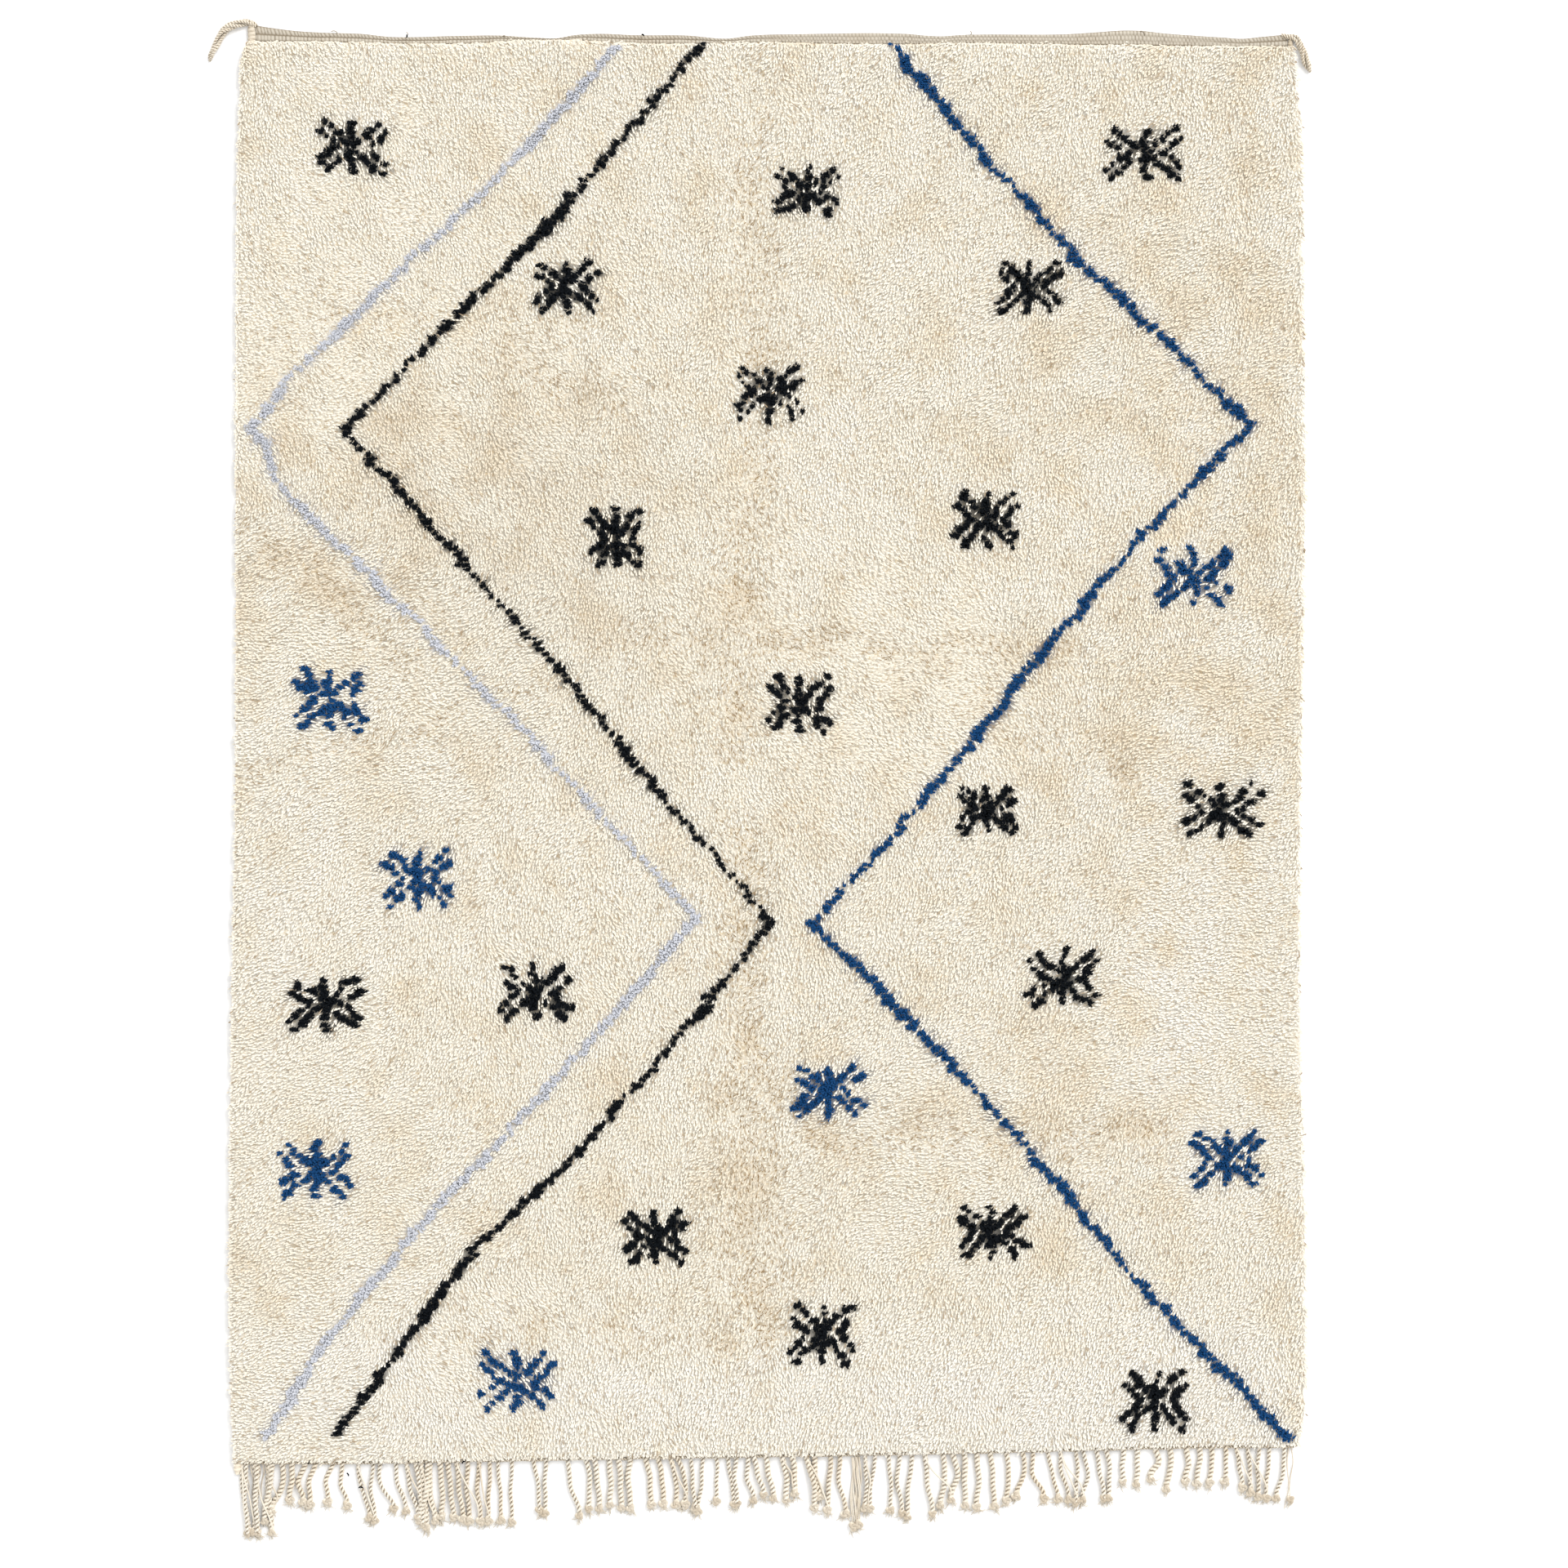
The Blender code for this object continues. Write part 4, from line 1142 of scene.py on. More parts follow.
def makeBed(material):
    # the thick of the pile below the yarn ends: a slab with soft shoulders, lower along folds
    x, y = fieldGrid(bedShares(1.50), bedShares(1.99), 0.0002, pile["bedOver"])
    rim = shoulderAt(edgeDistance(x, y, pile["bedOver"])[0])
    fold = foldAt(x, y)
    wall = pile["bedFoot"] + 0.0010
    hills, hillSize = pile["bedHills"]
    z = (wall + (pile["bedTop"] - wall) * (0.5 + 0.5 * rim)
         - pile["foldDrop"] * pile["bedSink"] * fold * rim
         + hills * softWaves(x, y, hillSize, 81) * rim)
    mesh, points, loop = makeSlab("pile_bed", x, y, z, pile["bedFoot"], 1.50, 2.00)
    x, y = points[:, 0], points[:, 1]
    # painted shade: a little in folds on its top, and down its walls to their foot
    below = np.zeros(len(loop))
    inFold, onWall = pile["bedDeep"]
    yarn, tone = pilePoints(x, y, np.concatenate([fold.ravel(), below]),
                            np.concatenate([inFold * fold.ravel(), below + onWall]),
                            np.random.default_rng(12))
    # the dyes spread a little, which hides the cells of the slab
    far = pile["dyeSpread"]
    blur = np.mean([yarnColours(yarnAt(x + far * math.cos(t), y + far * math.sin(t)))
                    for t in np.arange(6) * math.pi / 3], axis=0)
    setPointColours(mesh, "yarn", (yarn + 2 * blur) / 3)
    setPointColours(mesh, "tone", tone)
    way = napAt(x, y)[0]
    setPointColours(mesh, "nap", np.stack([np.cos(way), np.sin(way), 0 * way, foldAt(x, y)], 1))
    return addPiece(mesh, material, "pile_field")


def makeGround(material):
    # The ground weave that the knots are tied round: a thin slab on the floor.
    x, y = fieldGrid(*(np.linspace(0, 1, cells + 1) for cells in pile["groundCells"]))
    top = np.full_like(x, pile["groundTop"])
    mesh = makeSlab("groundedweave", x, y, top, 0.0, 1.50, 2.00)[0]
    return addPiece(mesh, material, "pile_field")


def stray(number, salt):
    # a repeatable value from -1 to 1 for one cord of the fringe
    return np.sin(number * 12.9898 + salt * 4.1414)


def waysAlong(line):
    # for lines of points, how each runs on, the level way across it and the way up from it
    ahead = np.gradient(line, axis=1)
    ahead /= np.linalg.norm(ahead, axis=2, keepdims=True)
    level = np.cross(ahead, [0.0, 0.0, 1.0])
    level /= np.linalg.norm(level, axis=2, keepdims=True)
    return ahead, level, np.cross(level, ahead)


def lengthAlong(line):
    steps = np.linalg.norm(np.diff(line, axis=1), axis=2)
    return np.concatenate([np.zeros((len(line), 1)), np.cumsum(steps, axis=1)], axis=1)


def tubes(line, radius, sides, tone, columns=1, slant=0.0):
    # Closed tubes, one for each line of points: at every point a ring, place + radius *
    # (cos t * level + sin t * up), and past each end a pole half a radius further on. tone is
    # warmth, lightness and depth; columns says how the baked map packs the tubes, and slant
    # how far the strands of yarnRun lean round them.
    count, rings = line.shape[:2]
    ahead, level, up = waysAlong(line)
    turn = np.arange(sides) * 2 * math.pi / sides
    radius = np.broadcast_to(radius, (count, rings, sides))
    ring = (line[:, :, None] + radius[..., None]
            * (level[:, :, None] * np.cos(turn)[:, None] + up[:, :, None] * np.sin(turn)[:, None]))
    start = line[:, 0] - ahead[:, 0] * radius[:, 0, :1] / 2
    end = line[:, -1] + ahead[:, -1] * radius[:, -1, :1] / 2
    points = np.concatenate([ring.reshape(count, -1, 3), start[:, None], end[:, None]], 1)

    number = np.arange(count)[:, None, None, None]
    first = number * (rings * sides + 2)
    r = np.arange(rings - 1)[:, None, None]
    k = np.arange(sides)[:, None]
    goesOn, goesRound = np.array([0, 1, 1, 0]), np.array([0, 0, 1, 1])
    quads = first + (r + goesOn) * sides + (k + goesRound) % sides
    here, after = np.arange(sides), (np.arange(sides) + 1) % sides
    pole = np.full(sides, rings * sides)
    last = (rings - 1) * sides
    caps = first + np.stack([np.stack([pole, here, after], 1),
                             np.stack([pole + 1, last + after, last + here], 1)])

    # where every corner of the quads and of the caps lies along and round its tube
    far = lengthAlong(line)
    capAlong = np.stack([np.tile([-0.5, 0, 0], (sides, 1)),
                         np.tile([rings - 0.5, rings - 1, rings - 1], (sides, 1))])
    capAround = np.stack([k + [0.5, 0, 1], k + [0.5, 1, 0]])
    runs, baked = [], []
    for on, about in (np.broadcast_arrays(r + goesOn, k + goesRound), (capAlong, capAround)):
        metres = far[:, np.rint(on.clip(0, rings - 1)).astype(int)]
        girth = 2 * math.pi * radius.mean() * about / sides
        run = np.stack([girth + slant * metres + 0.31 * number, metres + 0.17 * number], -1)
        across = (number % columns + (on + 0.5) / rings * 0.98 + 0.01) / columns
        down = number // columns + about / sides * 0.92 + 0.04
        runs.append(run.reshape(-1, 2))
        baked.append(np.stack([across, down], -1).reshape(-1, 2))
    tone = np.broadcast_to(tone, (count, rings, sides, 3)).reshape(count, -1, 3)
    tone = np.concatenate([tone, tone[:, :1], tone[:, -1:]], 1)
    return {"points": points.reshape(-1, 3), "tone": tone.reshape(-1, 3), "runs": runs,
            "faces": [quads.reshape(-1, 4), caps.reshape(-1, 3)], "baked": baked,
            "rows": math.ceil(count / columns)}


def joinTubes(name, sets, material, replaced):
    # one mesh of several sets of tubes, each set below the last on the baked map
    faces, baked = [], []
    below, rows = 0, 0
    for made in sets:
        faces += [f + below for f in made["faces"]]
        baked += [uv + (0, rows) for uv in made["baked"]]
        below += len(made["points"])
        rows += made["rows"]
    points, tone = (np.concatenate([made[key] for made in sets]) for key in ("points", "tone"))
    points[:, 2] = points[:, 2].clip(0.0002)   # nothing dips under the floor
    mesh = meshOf(name, points, faces)
    setPointColours(mesh, "tone", tone.clip(0, 1))
    setMap(mesh, "OFBake", np.concatenate(baked) / (1, rows))
    setMap(mesh, "yarnRun", np.concatenate([run for made in sets for run in made["runs"]]))
    return addPiece(mesh, material, replaced)


def yarnTone(warm, depth, total=1.05):
    # the tone of each yarn's points: how warm it is, as light as the rest of total, and how
    # deep its painted shade is
    warm, depth = np.broadcast_arrays(np.reshape(warm, (-1, 1, 1, 1)), depth)
    return np.concatenate([warm, total - warm, depth], -1)


def twisted(line, plies, offset, radius, pitch, sides, warm, light, columns=1, salt=0):
    # Plies laid round each line: place + offset (cos a * level + sin a * up), where a falls by a
    # full turn over each pitch, which slants the plies as the bar of a Z. A ply is painted with
    # shade where it faces the others.
    _, level, up = waysAlong(line)
    far = lengthAlong(line)
    angle = -2 * math.pi * far / pitch + stray(np.arange(len(line)) + salt, 5)[:, None] * 3
    angle = angle[:, None] + (np.arange(plies) * 2 * math.pi / plies)[None, :, None]
    offset = np.broadcast_to(offset, far.shape)[:, None, :, None]
    lay = (line[:, None] + offset * (np.cos(angle)[..., None] * level[:, None]
                                     + np.sin(angle)[..., None] * up[:, None]))
    size = np.broadcast_to(radius, far.shape)[:, None, :].repeat(plies, 1)
    lay, size = lay.reshape(-1, line.shape[1], 3), size.reshape(-1, line.shape[1])
    turn = np.arange(sides) * 2 * math.pi / sides
    away = np.cos(turn - angle.reshape(-1, line.shape[1])[..., None])
    # painted shade, deepest where the ply faces the others
    depth = np.clip(0.90 - 1.20 * away, 0, 1) ** 1.2
    shade = [np.repeat(np.broadcast_to(v, len(line)), plies)[:, None, None] + 0 * depth
             for v in (warm, light)]
    return tubes(lay, size[..., None], sides, np.stack([*shade, depth], -1), columns, 0.6)


def routeThrough(rows, points):
    # a smooth line of so many points through rows of x, y and any more values
    rows = np.array(rows, float)
    far = np.concatenate([[0], np.cumsum(np.hypot(*np.diff(rows[:, :2], axis=0).T))])
    at = np.linspace(0, far[-1], points)
    return np.stack([throughRows(far, column, at) for column in rows.T], 1)


fringe = {
    # each cord from left to right, in millimetres: x where it leaves the rug, half way down and
    # at its knot, and how far down its knot is
    "cords": [(-741, -738, -730, 1104), (-734, -735, -732, 1107), (-723, -719, -723, 1105),
              (-718, -720, -718, 1106), (-702, -702, -698, 1105), (-696, -702, -708, 1089),
              (-684, -682, -698, 1075), (-669, -670, -673, 1060), (-649, -660, -654, 1063),
              (-635, -645, -644, 1066), (-611, -621, -619, 1063), (-598, -601, -592, 1067),
              (-577, -572, -560, 1084), (-555, -558, -553, 1088), (-545, -546, -526, 1072),
              (-524, -520, -509, 1075), (-509, -503, -492, 1084), (-496, -489, -485, 1094),
              (-489, -483, -480, 1099), (-478, -480, -490, 1089), (-475, -476, -468, 1089),
              (-462, -458, -459, 1083), (-450, -447, -442, 1084), (-438, -434, -429, 1087),
              (-422, -423, -420, 1089), (-406, -408, -404, 1090), (-391, -392, -393, 1089),
              (-380, -377, -375, 1088), (-360, -361, -360, 1091), (-330, -324, -321, 1074),
              (-312, -313, -313, 1078), (-282, -277, -265, 1082), (-256, -250, -252, 1072),
              (-244, -239, -237, 1072), (-223, -221, -222, 1066), (-210, -207, -206, 1070),
              (-193, -196, -193, 1072), (-172, -166, -164, 1066), (-155, -148, -147, 1066),
              (-138, -129, -129, 1066), (-128, -116, -116, 1066), (-108, -106, -102, 1070),
              (-91, -93, -98, 1075), (-72, -71, -72, 1061), (-56, -52, -47, 1066),
              (-44, -46, -43, 1064), (-27, -29, -20, 1060), (-20, -14, -6, 1052),
              (-3, 2, 8, 1057), (20, 26, 26, 1059), (34, 38, 38, 1050), (53, 64, 66, 1071),
              (67, 66, 73, 1055), (89, 87, 84, 1075), (102, 101, 110, 1079), (121, 123, 121, 1097),
              (129, 129, 128, 1094), (137, 139, 137, 1071), (152, 147, 144, 1071),
              (170, 173, 173, 1074), (186, 183, 189, 1078), (204, 199, 197, 1083),
              (221, 225, 232, 1079), (246, 250, 243, 1067), (260, 267, 258, 1059),
              (277, 278, 278, 1067), (294, 297, 294, 1070), (313, 317, 319, 1068),
              (335, 340, 336, 1061), (358, 362, 350, 1054), (374, 373, 389, 1058),
              (394, 400, 409, 1058), (412, 414, 424, 1059), (434, 436, 434, 1063),
              (443, 451, 443, 1059), (462, 468, 473, 1057), (476, 482, 480, 1057),
              (501, 500, 500, 1034), (520, 521, 519, 1037), (545, 550, 539, 1030),
              (566, 568, 561, 1044), (589, 592, 588, 1034), (608, 608, 604, 1036),
              (624, 626, 622, 1036), (644, 646, 644, 1034), (659, 664, 668, 1042),
              (676, 678, 680, 1049), (692, 690, 691, 1055), (707, 704, 702, 1057),
              (727, 726, 716, 1057), (735, 734, 736, 1059)],
    "looseCords": (55, 56, 90),      # those that hang as loose yarns, counted from the left
    "braid": 0.0050,         # width of the twined edge
    "footDepth": 0.0025,
    "neckToKnot": 0.0055,
    "ply": 0.00225,          # each cord is two plies of this radius, laid this far off its line
    "plyOffset": 0.00220,
    "thickness": (0.78, 1.10),
    "pitch": 0.0124,
    "height": 0.0041,        # of a cord's line over the floor
    "lift": 0.0042,          # how much higher every other cord lies where two are close
    "rings": 44,
    "closeAt": 0.007,        # how near those two are
    "sway": 0.0010,
    "knotLoop": 0.0040,
    "knotYarn": 0.0025,
    "knotStretch": (1.15, 1.30),
    "knotHeight": 0.0052,
    "knotLobes": 0.0020,     # how far its lobes rise and fall
    "tuftYarns": 8,
    "tuftYarn": 0.00105,
    "tuftLength": (0.008, 0.015),
    "tuftSpread": 0.62,      # radians
    "tuftBend": 0.45,
    "tuftSlip": 0.0013,
    "tuftHeights": (0.0015, 0.0065),
    # loose yarns, x from and to, y from and to, radius: the bundle that hangs lowest, the
    # strays at the lower left corner and a thin one at the right
    "loose": [(8, (0.1185, 0.1300), (-0.998, -1.100), 0.0012),
              (9, (-0.742, -0.700), (-0.998, -1.062), 0.0008),
              (2, (0.733, 0.738), (-0.984, -1.072), 0.0009)],
    "crossNear": 0.013,      # cords this near may have a yarn that crosses from one to the next
    "crossYarn": 0.0012,
    "twineFrom": -0.7375,    # the twined edge along the lower end: from, to, yarn and pitch
    "twineTo": 0.7405,
    "twineYarn": 0.0013,
    "twinePitch": 0.0085,
}


def cordRoutes():
    # Each cord's line from the twined edge through its middle and neck to its knot. Where two
    # cords are close, every other one lies higher, as exp(-(distance / closeAt)^2).
    footX, middleX, tipX, drop = np.array(fringe["cords"]).T / 1000
    number = np.arange(len(footX))
    footY = edgeAcross("lower", footX) - fringe["braid"] + fringe["footDepth"]
    knotY = -drop
    neckY = knotY + fringe["neckToKnot"]
    lines = np.array([
        routeThrough([(footX[n], footY[n] + 0.002), (middleX[n], (footY[n] + neckY[n]) / 2),
                      (tipX[n], neckY[n]), (tipX[n], knotY[n] + 0.001)], fringe["rings"])
        for n in number])
    t = np.linspace(0, 1, fringe["rings"])
    sway = np.sin(9 * t + 7 * stray(number, 7)[:, None]) * np.sin(t * math.pi)
    x = lines[..., 0] + fringe["sway"] * sway
    gap = np.diff(x, axis=0, prepend=x[:1] - 0.1, append=x[-1:] + 0.1)
    close = np.exp(-(np.minimum(np.abs(gap[:-1]), np.abs(gap[1:])) / fringe["closeAt"]) ** 2)
    lift = fringe["lift"] * close * (number % 2)[:, None]      # only every other cord
    lift = lift + 0.0005 * (1 + np.sin(6 * t + 9 * stray(number, 8)[:, None]))
    height = fringe["height"] + lift * np.clip(t / 0.15, 0, 1)
    return np.stack([x, lines[..., 1], height], -1), np.stack([tipX, knotY], 1)


def knotTubes(knotAt, number):
    # Each knot is a trefoil, R (sin t + 2 sin 2t, cos t - 2 cos 2t) / 3 with its lobes rising
    # and falling as sin 3t, turned its own way.
    t = np.linspace(0, 2 * math.pi, 25)
    turn = stray(number, 9)[:, None] * math.pi
    size = fringe["knotLoop"] * (1 + 0.15 * stray(number, 10)[:, None])
    wide, tall = fringe["knotStretch"]
    a = size * (np.sin(t) + 2 * np.sin(2 * t)) / 3 * wide
    b = size * (np.cos(t) - 2 * np.cos(2 * t)) / 3 * tall
    x = knotAt[:, :1] + a * np.cos(turn) - b * np.sin(turn)
    y = knotAt[:, 1:] + a * np.sin(turn) + b * np.cos(turn)
    z = fringe["knotHeight"] - fringe["knotLobes"] * np.sin(3 * t) + 0 * x
    # painted shade along the knot, rising and falling with its lobes
    tone = yarnTone(0.60 + 0.20 * stray(number, 11), 0.25 - 0.35 * np.sin(3 * t)[:, None, None])
    return tubes(np.stack([x, y, z], -1), fringe["knotYarn"], 6, tone, 4)


def tuftTubes(knotAt, number, dice):
    # Short yarns that fan out below each knot, each bending off its way and thinning to a tip.
    each = fringe["tuftYarns"]
    count = len(number) * each
    at = np.repeat(knotAt, each, 0) + dice.normal(0, fringe["tuftSlip"], (count, 2))
    way = -math.pi / 2 + dice.uniform(-1, 1, count) * fringe["tuftSpread"]
    way += 0.35 * np.repeat(stray(number, 12), each)
    length = dice.uniform(*fringe["tuftLength"], count)[:, None]
    bend = dice.normal(0, fringe["tuftBend"], count)
    t = np.linspace(0, 1, 5)
    angle = way[:, None] + bend[:, None] * t
    x = at[:, :1] + length * t * np.cos(angle)
    y = at[:, 1:] + length * t * np.sin(angle)
    z = dice.uniform(*fringe["tuftHeights"], count)[:, None] * (1 - 0.55 * t)
    radius = fringe["tuftYarn"] * (1 - 0.62 * t)[None, :, None]
    # painted shade, deepest next to the knot
    tone = yarnTone(dice.uniform(0.30, 0.95, count), 0.45 - 0.4 * t[:, None, None])
    return tubes(np.stack([x, y, z], -1), radius, 3, tone, 16)


def looseTubes(dice):
    # Single loose yarns, side by side, each swaying as a sine and thinning as 1 - t^4 / 2.
    sets = []
    t = np.linspace(0, 1, 44)
    for yarns, (x0, x1), (y0, y1), size in fringe["loose"]:
        turn = dice.uniform(0, 2 * math.pi, yarns)[:, None]
        spread = np.linspace(-1, 1, yarns)[:, None] * (x1 - x0) / 2
        drop = y1 + dice.uniform(-0.004, 0.014, yarns)[:, None] - y0
        x = (x0 + x1) / 2 + spread + 0.0016 * np.sin(turn + 8 * t)
        x = x + 0.0045 * np.sin(turn * 2) * t**3
        y = y0 + drop * t - 0.0012 * np.cos(turn + 8 * t)
        z = 0.0030 + size + 0.0018 * np.cos(turn + 8 * t)
        thin = size * (1 - 0.5 * t**4)[None, :, None]
        tone = yarnTone(dice.uniform(0.45, 0.95, yarns), 0.25)
        sets.append(tubes(np.stack([x, y, z], -1), thin, 4, tone, 2, 0.5))
    return sets


def crossingTubes(routes, dice):
    # Single yarns worked loose: each leaves the rug with one cord, crosses over it as
    # t^2 (3 - 2 t) and ends beside the next one or two along.
    lines = []
    t = np.linspace(0, 1, 24)
    share = (t**2 * (3 - 2 * t))[:, None]
    for step in (1, 2):
        apart = np.abs(routes[step:, -1, 0] - routes[:-step, -1, 0])
        for n in np.nonzero(apart < fringe["crossNear"] * step)[0][::4 - step]:
            pair = [np.stack([np.interp(t, np.linspace(0, 1, routes.shape[1]), column)
                              for column in routes[cord].T], 1) for cord in (n, n + step)]
            line = pair[0] * (1 - share) + pair[1] * share
            line[:, 0] += 0.0030 * np.sin(t * 7 + n) * t
            line[:, 1] -= dice.uniform(-0.012, 0.010) * t
            line[:, 2] = 0.0035 + 0.0060 * np.sin(t * math.pi) ** 0.5
            lines.append(line)
    tone = yarnTone(dice.uniform(0.35, 0.90, len(lines)), 0.20, 1.0)
    return tubes(np.array(lines), fringe["crossYarn"], 4, tone, 4, 0.5)


def makeFringe(material):
    # One comb: the cords but for the loose ones, the twined edge, and each cord's knot and tuft.
    routes, knotAt = cordRoutes()
    number = np.arange(len(routes))
    dice = np.random.default_rng(21)
    kept = ~np.isin(number, fringe["looseCords"])
    thick = np.interp(stray(number, 15), (-1, 1), fringe["thickness"])[kept, None]
    warm, light = 0.55 + 0.25 * stray(number, 13), 0.60 + 0.20 * stray(number, 14)
    cords = twisted(routes[kept], 2, fringe["plyOffset"] * thick, fringe["ply"] * thick,
                    fringe["pitch"], 5, warm[kept], light[kept], 2)
    x = np.linspace(fringe["twineFrom"], fringe["twineTo"], 1180)
    y = edgeAcross("lower", x) - 0.0026 + 0.0006 * wavesAlong(x, 0.05, 22)
    edge = np.stack([x, y, np.full_like(x, 0.0027)], -1)[None]
    twine = twisted(edge, 2, 0.0011, fringe["twineYarn"], fringe["twinePitch"], 5, 0.75, 0.35)
    return joinTubes("knotted_fringe", [cords, twine, knotTubes(knotAt, number),
                                        tuftTubes(knotAt, number, dice), *looseTubes(dice),
                                        crossingTubes(routes[kept], dice)],
                     material, "fringe")


rolls = {
    "left": {"side": 1, "width": 0.012, "top": (-0.7270, 1.0180), "foot": (-0.7468, -1.0230),
             "rings": 1150, "sides": 8, "wrap": 0.0062},
    "right": {"side": -1, "width": 0.008, "top": (0.7360, 0.9975), "foot": (0.7405, -0.9838),
              "rings": 900, "sides": 6, "wrap": 0.0056},
    "flatness": 0.75,        # height of a roll beside its width
    "wrapDepth": 0.14,
    "wrapUneven": 0.25,      # of a wrap
    "thinEnd": 0.35,
    "warmth": (0.75, 0.25, 0.05),    # usual, how far it comes and goes, and from place to place
    "darkensOver": 0.035,         # the rolls are darker near the end beside the heading
}


def makeRoll(name, material, replaced):
    # An overcast edge: a flattened tube down the side, its radius swelling with each slanting
    # wrap of yarn as |sin(pi (length / wrap + turn / 2 pi))|^0.6.
    roll = rolls[name]
    half = roll["width"] / 2
    middle = np.array(outline[name]) + (roll["side"] * half, 0)
    line = routeThrough([roll["top"], *middle, roll["foot"]], roll["rings"])
    line = np.concatenate([line, np.full((len(line), 1), half)], 1)[None]
    far, level = lengthAlong(line)[0], line[0, :, 1]
    turn = np.arange(roll["sides"]) / roll["sides"]
    uneven = rolls["wrapUneven"] * wavesAlong(level, 0.03, 91)
    wrap = np.abs(np.sin(math.pi * (far[:, None] / roll["wrap"] + uneven[:, None] + turn)))
    radius = half * (0.97 - rolls["wrapDepth"] * (1 - wrap**0.6))
    ends = np.clip(np.minimum(far, far[::-1]) / half, rolls["thinEnd"], 1)
    radius = radius * np.sqrt(ends)[:, None]
    dice = np.random.default_rng(92)
    usual, swing, spread = rolls["warmth"]
    warm = usual + swing * wavesAlong(level, 0.09, 93)
    warm = warm[:, None] + dice.normal(0, spread, wrap.shape)
    towardHeading = np.exp(-far / rolls["darkensOver"])[:, None]
    # painted shade between the wraps, in lightness and depth; darker too near the end beside the
    # heading
    tone = np.stack([warm, 0.30 - 0.25 * (1 - wrap), 0.55 * (1 - wrap) ** 1.5 + 0.45 * towardHeading], -1)
    made = tubes(line, radius[None], roll["sides"], tone[None])
    made["points"][:, 2] *= rolls["flatness"]
    return joinTubes(f"{name}_overcast_edge", [made], material, replaced)


tassels = {
    # x, y and radius of each bundle from the corner of the rug to its tip
    "left": {"rows": [(-0.7205, 1.0150, 0.0042), (-0.7275, 1.0190, 0.0052),
                      (-0.7389, 1.0198, 0.0062), (-0.7510, 1.0164, 0.0066),
                      (-0.7640, 1.0090, 0.0068), (-0.7723, 0.9962, 0.0061),
                      (-0.7791, 0.9818, 0.0054), (-0.7838, 0.9720, 0.0043),
                      (-0.7863, 0.9660, 0.0018)],
             "yarns": 4, "rings": 66, "turn": 0.075},
    "right": {"rows": [(0.7231, 1.0020, 0.0034), (0.7331, 1.0010, 0.0046),
                       (0.7443, 0.9965, 0.0055), (0.7518, 0.9833, 0.0055),
                       (0.7560, 0.9703, 0.0060), (0.7605, 0.9590, 0.0058),
                       (0.7640, 0.9510, 0.0024)],
              "yarns": 4, "rings": 54, "turn": 0.060},
    "plyPitch": 0.0085,
    "reach": 0.56,           # of the bundle's radius: how far out its yarns lie, how far apart
    "plyApart": 0.20,        # the plies of a yarn are and how thick
    "ply": 0.25,
}


def makeTassel(name, material, replaced):
    # A bundle of yarns wound slowly round the tassel's line, each of two plies twisted more
    # quickly round each other.
    tassel = tassels[name]
    line = routeThrough(tassel["rows"], tassel["rings"])
    radius = line[:, 2]
    middle = line[None]
    _, level, up = waysAlong(middle)
    far = lengthAlong(middle)
    yarns = np.arange(tassel["yarns"])[:, None]
    angle = -2 * math.pi * far / tassel["turn"] + yarns * 2 * math.pi / len(yarns)
    angle = angle + 0.5 * np.sin(far * 90 + yarns * 2.1)
    reach = tassels["reach"] * radius * (1 + 0.12 * np.sin(far * 140 + yarns * 1.7))
    yarn = (middle + (reach * np.cos(angle))[..., None] * level
            + (reach * np.sin(angle))[..., None] * up)
    warm = 0.70 + 0.25 * stray(np.arange(len(yarns)), 31)
    made = twisted(yarn, 2, tassels["plyApart"] * radius, tassels["ply"] * radius,
                   tassels["plyPitch"], 5, warm, 1.0 - warm, salt=3)
    return joinTubes(f"{name}_yarn_tassel", [made], material, replaced)


snips = {
    # x, y, way (degrees) and length of bits of dark wool caught by the fringe
    "dark": [(-0.6470, -1.0080, 20, 0.0060), (-0.4590, -1.0010, 95, 0.0080),
             (-0.4255, -1.0045, 160, 0.0050), (-0.2830, -1.0035, 40, 0.0060),
             (-0.5900, -1.0250, 60, 0.0040), (-0.5700, -1.0420, 120, 0.0050),
             (-0.1745, 1.0010, 90, 0.0030), (-0.5080, 0.9990, 30, 0.0030)],
    # and of pulled threads that stand out of the heading's edge
    "pulled": [(-0.6060, 1.0050, 105, 0.0090), (-0.5070, 1.0030, 60, 0.0040),
               (-0.3690, 1.0010, 130, 0.0050), (0.5310, 1.0030, 80, 0.0080),
               (-0.7180, 1.0160, 150, 0.0080), (0.2860, 1.0035, 40, 0.0050)],
    "radius": {"dark": 0.0011, "pulled": 0.0007},
    "lift": {"dark": 0.0075, "pulled": 0.0030},      # height over the floor
    "arch": 0.0012,
}


def makeSnips(name, material, replaced, yarn=None):
    # short curved yarns, each turning by one radian along its length
    x, y, way, length = np.array(snips[name]).T[:, :, None]
    t = np.linspace(0, 1, 7)
    angle = np.radians(way) + t
    line = np.stack([x + length * t * np.cos(angle), y + length * t * np.sin(angle),
                     snips["lift"][name] + snips["arch"] * np.sin(t * math.pi) + 0 * x], -1)
    made = tubes(line, snips["radius"][name], 5, (0.9, 0.2, 0.5), 2)
    obj = joinTubes(f"{name}_yarn_bits", [made], material, replaced)
    if yarn:
        setPointColours(obj.data, "yarn", np.tile(yarn, (len(obj.data.vertices), 1)))
    return obj


